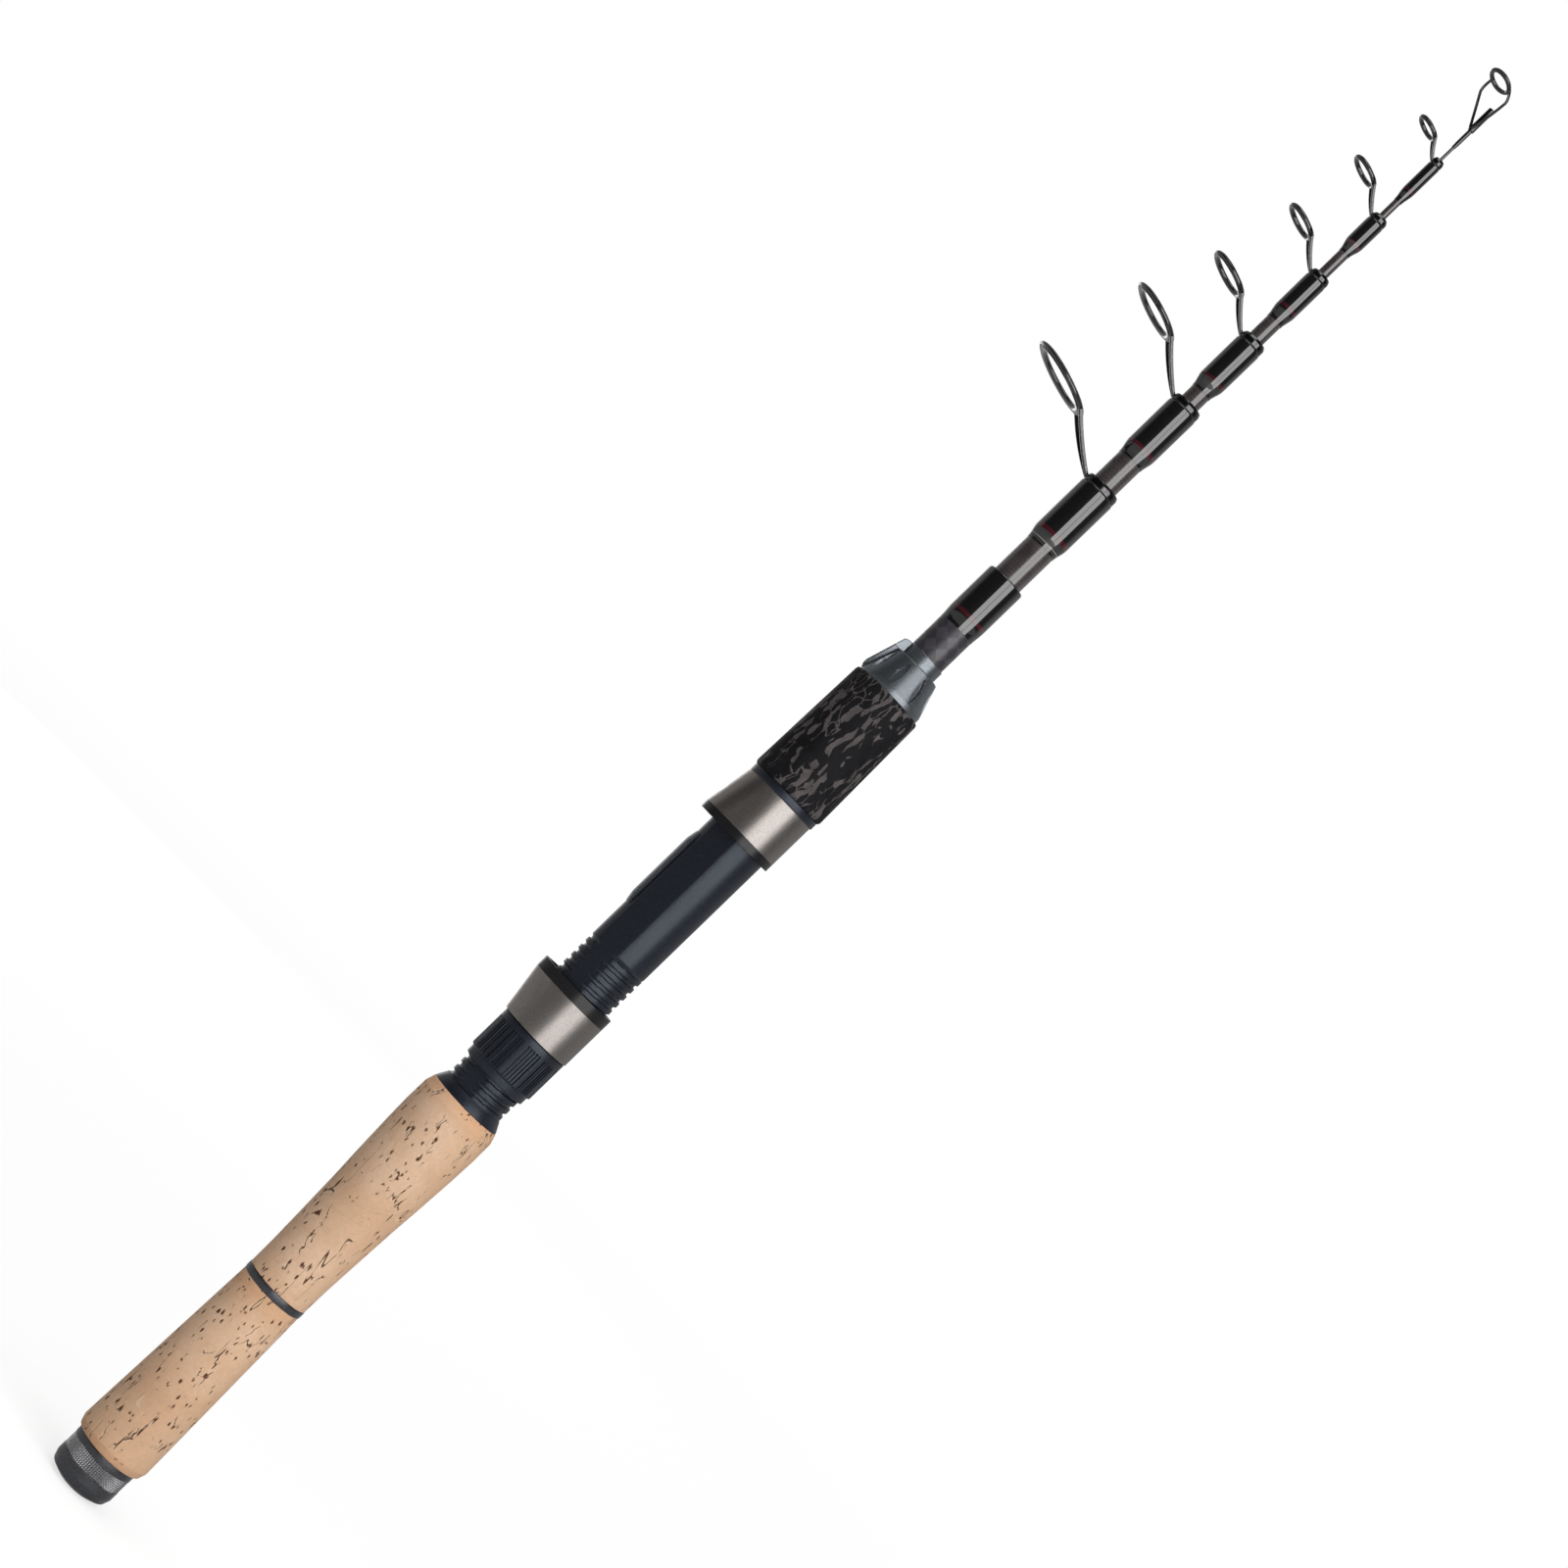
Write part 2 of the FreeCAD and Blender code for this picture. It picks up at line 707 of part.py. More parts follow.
def make_hood(name, side, base_z, flipped):
    """Hood shell and its liner. Local z = 0 is the mouth, and the closed end is at +z."""
    turn = (FreeCAD.Vector(1, 0, 0), "180") if flipped else None
    lip = size(f"{side}_hood_lip")
    length = size(f"{side}_hood_length")
    end = f"({lip} + {length})"
    reach = size("hood_reach")
    main = size("hood_main_radius")
    top = size("hood_top_radius")
    end_reach = size(f"{side}_hood_end_reach")
    share = f"(({main} - {top}) / ({reach} - {top}))"
    end_top = f"(({main} - {share} * {end_reach}) / (1 - {share}))"
    wall = size("hood_wall")
    floor = f"({end} - sizes.hood_end_floor)"
    clearance = size(f"{side}_hood_clearance")
    bore = f"(sizes.barrel_radius + {clearance})"
    flat = f"(sizes.flat_distance + {clearance})"

    shell = new_body(name, base_z, turn)
    mouth = new_sketch(shell, "mouth", "XY_Plane", {"z": lip})
    outline(mouth, egg(reach, main, top))
    back = new_sketch(shell, "back", "XY_Plane", {"z": end})
    outline(back, egg(end_reach, main, end_top))
    loft(shell, mouth, back)
    inner_mouth = new_sketch(shell, "inner_mouth", "XY_Plane", {"z": lip})
    outline(inner_mouth, egg(f"({reach} - {wall})", f"({main} - {wall})", f"({top} - {wall})"))
    inner_back = new_sketch(shell, "inner_back", "XY_Plane", {"z": floor})
    inner_end = (f"({end_reach} - {wall})", f"({main} - {wall})", f"({end_top} - {wall})")
    outline(inner_back, egg(*inner_end))
    loft(shell, inner_mouth, inner_back, "SubtractiveLoft")
    bore_sketch = new_sketch(shell, "bore", "XY_Plane")
    barrel_outline(bore_sketch, bore, flat)
    extrude(shell, bore_sketch, f"{end} + sizes.cut_margin", "Pocket", backwards=True)

    gap = size("hood_glue_gap")
    liner = new_body(f"{name}_liner", base_z, turn)
    rim = new_sketch(liner, "rim", "XY_Plane")
    outline(rim, egg(reach, main, top))
    extrude(liner, rim, lip)
    root = new_sketch(liner, "root", "XY_Plane", {"z": lip})
    skin = f"({wall} + {gap})"
    outline(root, egg(f"({reach} - {skin})", f"({main} - {skin})", f"({top} - {skin})"))
    tail = new_sketch(liner, "tail", "XY_Plane", {"z": f"{floor} - {gap}"})
    outline(tail, egg(f"({end_reach} - {skin})", f"({main} - {skin})", f"({end_top} - {skin})"))
    loft(liner, root, tail)
    liner_bore = new_sketch(liner, "bore", "XY_Plane")
    barrel_outline(liner_bore, bore, flat)
    extrude(liner, liner_bore, f"{end} + sizes.cut_margin", "Pocket", backwards=True)
    pocket_mouth = new_sketch(liner, "pocket_mouth", "XY_Plane")
    outline(pocket_mouth, tunnel(size("pocket_reach")))
    depth = size(f"{side}_pocket_depth")
    pocket_end = new_sketch(liner, "pocket_end", "XY_Plane", {"z": depth})
    outline(pocket_end, tunnel(size("pocket_end_reach")))
    loft(liner, pocket_mouth, pocket_end, "SubtractiveLoft")
    return shell


def cut_hood_window(shell):
    """Small window in the top of the fixed hood, through its skin."""
    middle = size("hood_window_place")
    half_length = "(sizes.hood_window_length / 2)"
    half_width = "(sizes.hood_window_width / 2)"
    window = new_sketch(shell, "window", "YZ_Plane", {"z": "-sizes.hood_reach - sizes.cut_margin"})
    outline(window, flange(f"-{half_width}", half_width, f"{middle} - {half_length}",
                           f"{middle} + {half_length}"))
    depth = "sizes.hood_reach - sizes.barrel_radius - sizes.cut_margin"
    extrude(shell, window, depth, "Pocket", backwards=True)


def make_lock_nut():
    """Threaded ring that pushes the moving hood. Groups of grip grooves lie between plain lands."""
    body = new_body("lock_nut", NUT_REAR)
    bore = "(sizes.barrel_radius + sizes.nut_clearance)"
    skirt = size("nut_skirt_radius")
    radius = size("nut_radius")
    edge = size("nut_edge")
    length = size("nut_length")
    skirt_end = size("nut_skirt_length")
    bevel = size("check_ring_bevel")
    sketch = new_sketch(body, "profile")
    outline(sketch, [
        (bore, "0"),
        (f"{skirt} - {bevel}", "0"),
        (skirt, bevel),
        (skirt, skirt_end),
        (f"{radius} - {edge}", skirt_end),
        (radius, f"{skirt_end} + {edge}"),
        (radius, f"{length} - {edge} / 2"),
        (f"{radius} - {edge} / 2", length),
        (bore, length)])
    revolve(body, sketch)
    grooves = new_sketch(body, "grooves", "XY_Plane", {"z": f"{length} - sizes.nut_land"})
    half = "(sizes.nut_groove_width / 2)"
    floor = f"({radius} - sizes.nut_groove_depth)"
    outside = f"({radius} + sizes.cut_margin)"
    for place in range(-2, 3):
        middle = f"({place} * sizes.nut_groove_step)"
        outline(grooves, flange(floor, outside, f"{middle} - {half}", f"{middle} + {half}"))
    cut = extrude(body, grooves, size("nut_rib_length"), "Pocket")
    polar(body, cut, size("nut_rib_groups"))
    return body


# Tubes and their bindings


def make_blank(tube):
    """Tube with a thicker seat at its butt and a narrower mouth, where the next seat stops."""
    label = "tip_blank" if tube == TIP else f"section_{tube}_blank"
    front = tube_front(tube)
    radius = blank_radius(tube)
    if tube == 1:
        rear = size("grip_blank_start")
        outside = [(radius, rear)]
    else:
        rear = SECTION_REST
        seat = f"({radius} + sizes.seat_rise)"
        seat_end = f"({rear} + sizes.seat_length)"
        outside = [(seat, rear), (seat, seat_end), (radius, seat_end)]
    outside.append((radius, front))
    if tube == TIP:
        inside = [("0", front), ("0", rear)]
    else:
        mouth = f"({blank_radius(tube + 1)} + sizes.slide_clearance)"
        bore = f"({mouth} + sizes.seat_rise)"
        mouth_rear = f"({front} - sizes.seat_length)"
        inside = [(mouth, front), (mouth, mouth_rear), (bore, mouth_rear), (bore, rear)]
    lathe(label, outside + inside)


def make_wrap(tube, front):
    """Thread binding under clear varnish, thin where it starts and rounded where it ends."""
    rear = wrap_rear(tube)
    radius = size(f"tube_{tube}_wrap_radius")
    start = f"({blank_radius(tube)} + sizes.wrap_start_height)"
    flare = "sizes.wrap_flare"
    crest = "sizes.wrap_round" if tube < TIP else "(sizes.wrap_round / 4)"
    end_radius = f"(({blank_radius(tube)} + 2 * {radius}) / 3)"
    label = "tip_wrap" if tube == TIP else f"section_{tube}_wrap"
    lathe(label, [
        (around_blank(tube), rear),
        (start, rear),
        (radius, f"{rear} + {flare}"),
        (radius, f"{front} - {crest}"),
        (end_radius, front),
        (around_blank(tube), front)])


# Line guides


def ring_sketch(body, name, guide):
    """Sketch whose upright axis is the axis of the leaning guide ring."""
    return new_sketch(
        body, name,
        offset={"x": f"-sizes.guide_{guide}_height", "y": f"sizes.guide_{guide}_ahead"},
        spin=(FreeCAD.Vector(0, 0, -1), size("ring_lean")))


def seat_radius(guide):
    """Where the ring ends and the frame's seat begins, between the bore and the outside."""
    bore = f"sizes.guide_{guide}_bore"
    outer = f"sizes.guide_{guide}_outer"
    return f"({bore} + sizes.seat_share * ({outer} - {bore}))"


def make_guide(guide, names, tube):
    """Frame of one guide: a foot round the tube, two flat legs and the seat, and its ring."""
    frame_name, ring_name = names
    base = tube_front(tube)
    if tube == TIP:
        base = f"{base} + sizes.tip_top_overhang"
    turn = (FreeCAD.Vector(0, 0, 1), size("tip_roll")) if tube == TIP else None
    foot = size(f"guide_{guide}_foot")
    thick = size(f"guide_{guide}_thick")
    outer = size(f"guide_{guide}_outer")
    height = size(f"guide_{guide}_height")
    ahead = size(f"guide_{guide}_ahead")
    wide = size(f"guide_{guide}_leg_width")
    thin = size(f"guide_{guide}_leg_thick")
    foot_bore = around_blank(tube)
    if tube == TIP:
        foot_radius = f"({foot_bore} + sizes.tip_tube_wall)"
    else:
        foot_radius = size(f"tube_{tube}_wrap_radius")
    body = new_body(frame_name, base, turn)

    collar = new_sketch(body, "foot")
    outline(collar, flange("0", foot_radius, f"-{foot}", "0"))
    revolve(body, collar)

    # Each leg runs straight from the foot to the middle of the seat's wall
    hold = f"(({seat_radius(guide)} + {outer}) / 2)"
    spread = size(f"guide_{guide}_leg_spread")
    up = f"({hold} * cos({spread}))"
    end_x = f"({height} - {up} * cos(sizes.ring_lean))"
    end_z = f"({ahead} - {up} * sin(sizes.ring_lean))"
    end_y = f"({hold} * sin({spread}))"
    root_x = f"({foot_radius} - sizes.leg_root_rise)"
    root_z = f"(-{foot} / 2)" if tube < TIP else f"(-{foot} + {wide})"
    root = new_sketch(body, "leg_root", "YZ_Plane", {"z": f"-{root_x}"})
    near = "(sizes.leg_gap / 2)"
    outline(root, flange(
        near, f"{near} + {thin}", f"{root_z} - {wide} / 2", f"{root_z} + {wide} / 2"))
    head = new_sketch(body, "leg_head", "YZ_Plane", {"z": f"-{end_x}"})
    outline(head, flange(
        f"{end_y} - {thin} / 2", f"{end_y} + {thin} / 2",
        f"{end_z} - {wide} / 2", f"{end_z} + {wide} / 2"))
    leg = loft(body, root, head)
    legs = body.newObject("PartDesign::Mirrored", f"{body.Name}_legs")
    legs.Originals = [leg]
    legs.MirrorPlane = (origin_plane(body, "XZ_Plane"), [""])
    body.Tip = legs

    half = f"({thick} / 2)"
    rim = f"({thick} / 5)"
    disc = ring_sketch(body, "seat", guide)
    outline(disc, [
        ("0", f"-{half}"),
        (seat_radius(guide), f"-{half}"),
        (outer, f"-{rim}"),
        (outer, rim),
        (seat_radius(guide), half),
        ("0", half)])
    revolve(body, disc)
    seat = ring_sketch(body, "seat_bore", guide)
    outline(seat, flange(
        "0", seat_radius(guide), f"-{half} - sizes.cut_margin", f"{half} + sizes.cut_margin"))
    revolve(body, seat, "Groove")
    bore = new_sketch(body, "foot_bore")
    outline(bore, flange("0", foot_bore, f"-{foot} - sizes.cut_margin", "sizes.cut_margin"))
    revolve(body, bore, "Groove")

    ring = new_body(ring_name, base, turn)
    hole = size(f"guide_{guide}_bore")
    land = "(sizes.ring_land / 2)"
    face = f"({half} + sizes.seat_lip)"
    back = f"({seat_radius(guide)} - sizes.glue_gap)"
    profile = ring_sketch(ring, "profile", guide)
    outline(profile, [
        (hole, f"-{land}"),
        (back, f"-{face}"),
        (back, face),
        (hole, land)])
    revolve(ring, profile)


def check_and_write():
    """Stop at a failed object, then write each piece to a file of its own name."""
    failed = []
    for item in doc.Objects:
        if "Invalid" in item.State or "Error" in item.State:
            failed.append(item.Name)
    pieces = [item for item in doc.Objects if item.TypeId == "PartDesign::Body"]
    for piece in pieces:
        if piece.Shape.isNull() or not piece.Shape.isValid() or not piece.Shape.Solids:
            failed.append(piece.Label)
    if failed:
        raise RuntimeError(f"failed objects: {failed}")
    os.makedirs("parts", exist_ok=True)
    for piece in pieces:
        piece.Shape.exportStep(f"parts/{piece.Label}.step")
        solids = len(piece.Shape.Solids)
        print(f"{piece.Label:24s} {solids} solid, {piece.Shape.Volume:10.2f} mm3")


fill_sheet()

make_end_pad()
make_butt_cap()
make_buffer()
make_butt_sleeve()
make_rear_grip()
make_check_ring()
make_front_grip()
make_collar_cone()
make_barrel()
make_arbors()
make_foot_pad()
make_hood("moving_hood", "moving", MOVING_HOOD_MOUTH, True)
fixed = make_hood("fixed_hood", "fixed", FIXED_HOOD_MOUTH, False)
cut_hood_window(fixed)
make_lock_nut()
make_foregrip_collar()
make_foregrip()
make_winding_check()

for tube in range(1, TIP + 1):
    make_blank(tube)
    wrap_end = tube_front(tube)
    if 1 < tube < TIP:
        wrap_end = f"({wrap_end} - sizes.guide_{tube - 1}_foot)"
    if tube == TIP:
        wrap_end = f"({wrap_end} + sizes.tip_top_overhang - sizes.guide_{tube - 1}_foot)"
    make_wrap(tube, wrap_end)

for guide in range(1, TIP - 1):
    make_guide(guide, (f"guide_{guide}_frame", f"guide_{guide}_ring"), guide + 1)
make_guide(TIP - 1, ("tip_top_frame", "tip_top_ring"), TIP)

doc.recompute()
check_and_write()
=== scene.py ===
from math import atan2, ceil, copysign, cos, pi, radians, sin, sqrt, tan, tau

import bpy
from mathutils import Matrix, Vector


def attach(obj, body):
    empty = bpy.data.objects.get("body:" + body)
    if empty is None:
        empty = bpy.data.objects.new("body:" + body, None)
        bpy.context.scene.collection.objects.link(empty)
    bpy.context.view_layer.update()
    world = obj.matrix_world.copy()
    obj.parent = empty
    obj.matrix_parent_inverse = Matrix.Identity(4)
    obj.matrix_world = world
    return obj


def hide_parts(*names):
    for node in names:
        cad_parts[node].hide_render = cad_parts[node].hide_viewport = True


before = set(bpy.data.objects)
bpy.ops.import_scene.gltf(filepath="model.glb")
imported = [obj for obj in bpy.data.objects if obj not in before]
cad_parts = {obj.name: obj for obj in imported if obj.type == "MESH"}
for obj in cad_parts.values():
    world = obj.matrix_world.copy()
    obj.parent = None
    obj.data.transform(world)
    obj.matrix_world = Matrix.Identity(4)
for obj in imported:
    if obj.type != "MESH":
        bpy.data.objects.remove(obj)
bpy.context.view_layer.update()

# Telescopic fishing rod, closed. Row frame: +Z runs along the rod to the tip, the guides and the
# reel foot are on -X, and the camera looks from -Y. Lengths in the tables are in millimetres.

MM = 0.001
BUTT_CAP_FRONT = 13.4
REAR_CORK = (13.55, 75.8)
CHECK_RING = (75.8, 78.2)
FRONT_CORK = (78.2, 150.0)
BARREL = (150.0, 272.9)
COLLAR_CONE = (150.0, 153.1)
FOREGRIP_COLLAR = (270.5, 272.9)
FOREGRIP = (272.9, 311.5)

# Lock nut: its ends, the turn of its first group of grooves and the grooves' sizes. Half is
# half of a groove's floor, and the flank is the width of each of its sides.
LOCK_NUT = (160.75, 176.65)
NUT_TURN = radians(-108.0)
GROOVE_GROUPS = 11
GROOVES_EACH = 5
GROOVE_STEP = 1.05
GROOVE_DEPTH = 0.5
GROOVE_HALF = 0.19
GROOVE_FLANK = 0.15

# Winding check: where its rim, slope and collar start and where it ends, then the radii of
# the rim, the slope's front end and the collar. The leaves start at LEAF_START ahead of its
# rear end, and the lug's crest falls from LUG_LEVEL on.
WINDING_CHECK = (311.5, 313.1, 322.8, 326.5)
CHECK_RADII = (10.7, 7.5, 6.05)
LEAF_PLACES = 8
LEAF_TURN = radians(-103.4)
LEAF_START = 1.8
LEAF_LENGTH = 8.2
LEAF_WIDTH = 2.0
LEAF_DEPTH = 0.85
LUG_RADII = (11.3, 7.8)
LUG_LEVEL = 2.9
LUG_HALF_WIDTH = 2.25

BARREL_RADIUS = 9.67
BARREL_BORE = 7.5
THREAD_ROOT = 9.02
THREAD_PITCH = 2.8
THREAD = (153.1, 209.0)
FLAT_DISTANCE = 8.8
FLAT_TURN = radians(27.0)

# Tube: front end, radius, binding radius, binding start
TUBES = [
    (357.1, 5.67, 6.10, 337.8),
    (394.4, 4.80, 5.70, 370.0),
    (426.8, 4.04, 4.90, 404.3),
    (452.3, 3.12, 4.19, 431.5),
    (477.8, 2.50, 3.31, 459.6),
    (500.7, 1.66, 2.73, 486.4),
    (523.2, 1.13, 1.86, 506.9),
    (542.2, 0.47, 0.68, 528.3),
]

# Guide: ring height, place ahead of the tube's end, outer radius, bore radius, thickness, foot
# length, leg width, leg thickness. A leg meets its ring at the spread from the rod's side.
GUIDES = [
    (29.3, 12.2, 11.90, 8.75, 1.5, 2.4, 1.25, 0.75),
    (24.3, 11.2, 9.50, 6.75, 1.4, 2.2, 1.15, 0.70),
    (17.8, 7.4, 7.55, 5.75, 1.4, 2.4, 1.05, 0.65),
    (14.4, 6.3, 5.95, 4.55, 1.3, 2.0, 1.00, 0.60),
    (12.1, 5.6, 5.30, 4.05, 1.2, 2.0, 0.95, 0.55),
    (8.7, 3.9, 4.20, 3.05, 1.1, 2.0, 0.90, 0.50),
]
LEG_SPREAD = radians(30.0)

# Tip-top: its ring has the first five numbers of a guide
TIP_RING = (5.8, 5.8, 4.15, 2.85, 1.1)
TIP_LEG_SPREAD = radians(75.0)
TIP_BASE = 543.2
TIP_FOOT = 8.4
TIP_ROLL = radians(45.0)

# Every ring leans towards the tip. Its polished insert is SEAT_SHARE of its width, and passes
# half the ring's thickness by SEAT_LIP on each side. GLUE_GAP lies between glued pieces.
LEAN = Matrix.Rotation(radians(15.5), 3, "Y")
SEAT_SHARE = 0.6
SEAT_LIP = 0.12
GLUE_GAP = 0.03

# Heights of the warmer, darker bands at the cork's ends beside other parts, and half their
# widths
CORK_END_TINTS = [(14.0, 1.5), (74.5, 2.0), (149.5, 2.5)]


def section_body(tube):
    """Body that a tube, counted from the grip, moves with."""
    if tube == 1:
        return "handle"
    return "tip_section" if tube == len(TUBES) else f"section_{tube}"


def section_node(tube, part):
    return f"tip_{part}" if tube == len(TUBES) else f"section_{tube}_{part}"


# Mesh helpers


def make_piece(name, points, faces, body, material, sharp=32.0):
    """Smooth-shaded mesh, with the edges left sharp where faces meet at a wide angle."""
    mesh = bpy.data.meshes.new(name)
    mesh.from_pydata([Vector(point) * MM for point in points], [], faces)
    mesh.validate()
    mesh.update()
    mesh.shade_smooth()
    mesh.set_sharp_from_angle(angle=radians(sharp))
    mesh.materials.append(material)
    piece = bpy.data.objects.new(name, mesh)
    bpy.context.scene.collection.objects.link(piece)
    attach(piece, body)
    return piece


def rounded(profile, steps=5):
    """Profile with an arc at each corner that gives a third number, its radius."""
    points = []
    count = len(profile)
    for place, corner in enumerate(profile):
        here = Vector(corner[:2])
        radius = corner[2] if len(corner) > 2 else 0.0
        if not radius:
            points.append(tuple(here))
            continue
        before = (Vector(profile[place - 1][:2]) - here).normalized()
        after = (Vector(profile[(place + 1) % count][:2]) - here).normalized()
        half = before.angle(after) / 2
        back = radius / tan(half)
        centre = here + (before + after).normalized() * (radius / sin(half))
        start = here + before * back - centre
        finish = here + after * back - centre
        turn = start.angle_signed(finish)
        for step in range(steps + 1):
            angle = -turn * step / steps
            points.append(tuple(centre + Matrix.Rotation(angle, 2) @ start))
    return points


def spread_along(profile, low, high, step):
    """Profile with added points wherever it runs between two heights."""
    points = []
    count = len(profile)
    for place, (r, z) in enumerate(profile):
        next_r, next_z = profile[(place + 1) % count]
        points.append((r, z))
        run = abs(next_z - z)
        inside = min(z, next_z) >= low - 0.01 and max(z, next_z) <= high + 0.01
        if inside and run > step:
            pieces = ceil(run / step)
            for index in range(1, pieces):
                share = index / pieces
                points.append((r + (next_r - r) * share, z + (next_z - z) * share))
    return points


def ring_faces(rows, around, closed=True):
    """Quads between rings of points. With closed, the last ring joins the first."""
    faces = []
    for row in range(rows if closed else rows - 1):
        following = (row + 1) % rows
        for step in range(around):
            beside = (step + 1) % around
            faces.append((row * around + step, row * around + beside,
                          following * around + beside, following * around + step))
    return faces


def turned_points(profile, around, relief=None):
    """A closed profile (radius, height) turned round the rod's axis. relief(angle, r, z)
    gives the radius at each point."""
    points = []
    for r, z in profile:
        for step in range(around):
            angle = tau * step / around
            reach = relief(angle, r, z) if relief else r
            points.append((reach * cos(angle), reach * sin(angle), z))
    return points


def turned(name, profile, body, material, around=96, relief=None, sharp=32.0):
    points = turned_points(profile, around, relief)
    faces = ring_faces(len(profile), around)
    return make_piece(name, points, faces, body, material, sharp)


def ease(share):
    share = min(max(share, 0.0), 1.0)
    return share * share * (3 - 2 * share)


# Node helpers


class Graph:
    """Short calls for adding nodes to a tree and joining them."""

    def __init__(self, tree):
        self.tree = tree

    def node(self, kind, inputs=None, **settings):
        node = self.tree.nodes.new(kind)
        for name, value in settings.items():
            setattr(node, name, value)
        for name, value in (inputs or {}).items():
            if isinstance(value, bpy.types.NodeSocket):
                self.tree.links.new(value, node.inputs[name])
            else:
                node.inputs[name].default_value = value
        return node

    def join(self, sockets, **sources):
        """Link outputs to the sockets of those names, where _ stands for a space."""
        for name, source in sources.items():
            self.tree.links.new(source, sockets[name.replace("_", " ")])

    def place(self):
        """Point on the piece, in the rod's own frame and in metres."""
        return self.node("ShaderNodeTexCoord").outputs["Object"]

    def math(self, operation, first, second=0.0, clamp=False):
        node = self.node("ShaderNodeMath", {0: first, 1: second}, operation=operation,
                         use_clamp=clamp)
        return node.outputs[0]

    def vector(self, operation, inputs):
        return self.node("ShaderNodeVectorMath", inputs, operation=operation).outputs[0]

    def mix(self, factor, first, second, blend="MIX"):
        node = self.node("ShaderNodeMix", {0: factor, 6: first, 7: second}, data_type="RGBA",
                         blend_type=blend)
        return node.outputs[2]

    def ramp(self, factor, stops):
        """Colour ramp. A stop is (place, value) or (place, (red, green, blue))."""
        node = self.node("ShaderNodeValToRGB", {0: factor})
        for index, (place, colour) in enumerate(stops):
            if index < 2:
                stop = node.color_ramp.elements[index]
                stop.position = place
            else:
                stop = node.color_ramp.elements.new(place)
            stop.color = paint(colour)
        return node.outputs[0]

    def range(self, value, low, high, to_low=0.0, to_high=1.0):
        node = self.node("ShaderNodeMapRange", {
            0: value, 1: low, 2: high, 3: to_low, 4: to_high})
        return node.outputs[0]

    def noise(self, vector, scale, detail=3.0, roughness=0.5, distortion=0.0):
        node = self.node("ShaderNodeTexNoise", {
            "Vector": vector, "Scale": scale, "Detail": detail, "Roughness": roughness,
            "Distortion": distortion})
        return node.outputs[0]

    def group(self, tree, inputs=None):
        return self.node("ShaderNodeGroup", inputs, node_tree=tree).outputs

    def bump(self, height, strength, distance):
        return self.node("ShaderNodeBump", {
            "Strength": strength, "Distance": distance, "Height": height}).outputs[0]


def paint(colour):
    if isinstance(colour, (int, float)):
        return (colour, colour, colour, 1.0)
    return (*colour, 1.0)


def new_group(name, inputs, outputs):
    """Shader node group with named sockets. inputs are (name, type, default)."""
    tree = bpy.data.node_groups.new(name, "ShaderNodeTree")
    for label, kind, default in inputs:
        socket = tree.interface.new_socket(label, in_out="INPUT", socket_type=kind)
        if default is not None:
            socket.default_value = default
    for label, kind in outputs:
        tree.interface.new_socket(label, in_out="OUTPUT", socket_type=kind)
    graph = Graph(tree)
    source = tree.nodes.new("NodeGroupInput")
    target = tree.nodes.new("NodeGroupOutput")
    return tree, graph, source.outputs, target.inputs


FLOAT = "NodeSocketFloat"
VECTOR = "NodeSocketVector"


def build_rod_coordinates():
    """Where a point lies on the rod: its angle from the camera side, its height and its
    place on the unrolled surface of a tube of the given radius."""
    tree, graph, given, result = new_group(
        "rod_coordinates", [("Radius", FLOAT, 0.01)],
        [("Angle", FLOAT), ("Height", FLOAT), ("Unrolled", VECTOR)])
    place = graph.place()
    parts = graph.node("ShaderNodeSeparateXYZ", {0: place}).outputs
    back = graph.math("MULTIPLY", parts[1], -1.0)
    angle = graph.math("ARCTAN2", parts[0], back)
    arc = graph.math("MULTIPLY", angle, given["Radius"])
    unrolled = graph.node("ShaderNodeCombineXYZ", {0: arc, 1: parts[2]}).outputs[0]
    graph.join(result, Angle=angle, Height=parts[2], Unrolled=unrolled)
    return tree


def build_fine_grain():
    """Moulded or blasted grain: a normal that it tilts and a roughness that it varies."""
    tree, graph, given, result = new_group(
        "fine_grain",
        [("Scale", FLOAT, 900.0), ("Depth", FLOAT, 0.3), ("Roughness", FLOAT, 0.4),
         ("Variation", FLOAT, 0.08)],
        [("Normal", VECTOR), ("Roughness", FLOAT), ("Grain", FLOAT)])
    place = graph.place()
    grain = graph.noise(place, given["Scale"], 2.0, 0.6)
    bump = graph.bump(grain, given["Depth"], 0.0002)
    clouds = graph.noise(place, 90.0, 4.0, 0.6)
    shift = graph.math("SUBTRACT", clouds, 0.5)
    shift = graph.math("MULTIPLY", shift, given["Variation"])
    shift = graph.math("MULTIPLY", shift, 2.0)
    rough = graph.math("ADD", given["Roughness"], shift, clamp=True)
    graph.join(result, Normal=bump, Roughness=rough, Grain=grain)
    return tree


def build_band():
    """Mask of a band round the rod, between two heights, with soft edges."""
    tree, graph, given, result = new_group(
        "band_round_rod",
        [("Height", FLOAT, 0.0), ("Middle", FLOAT, 0.0), ("Half width", FLOAT, 0.001),
         ("Edge", FLOAT, 0.0001)],
        [("Mask", FLOAT)])
    away = graph.math("SUBTRACT", given["Height"], given["Middle"])
    away = graph.math("ABSOLUTE", away)
    inside = graph.math("SUBTRACT", given["Half width"], away)
    mask = graph.math("DIVIDE", inside, given["Edge"])
    mask = graph.math("ADD", mask, 0.5, clamp=True)
    graph.join(result, Mask=mask)
    return tree


GROUPS = {
    "rod": build_rod_coordinates(),
    "grain": build_fine_grain(),
    "band": build_band(),
}


def band_mask(graph, rod, middle, half, edge):
    """Mask of a band at a height, with its numbers in millimetres."""
    return graph.group(GROUPS["band"], {
        "Height": rod["Height"], "Middle": middle * MM, "Half width": half * MM,
        "Edge": edge * MM})["Mask"]


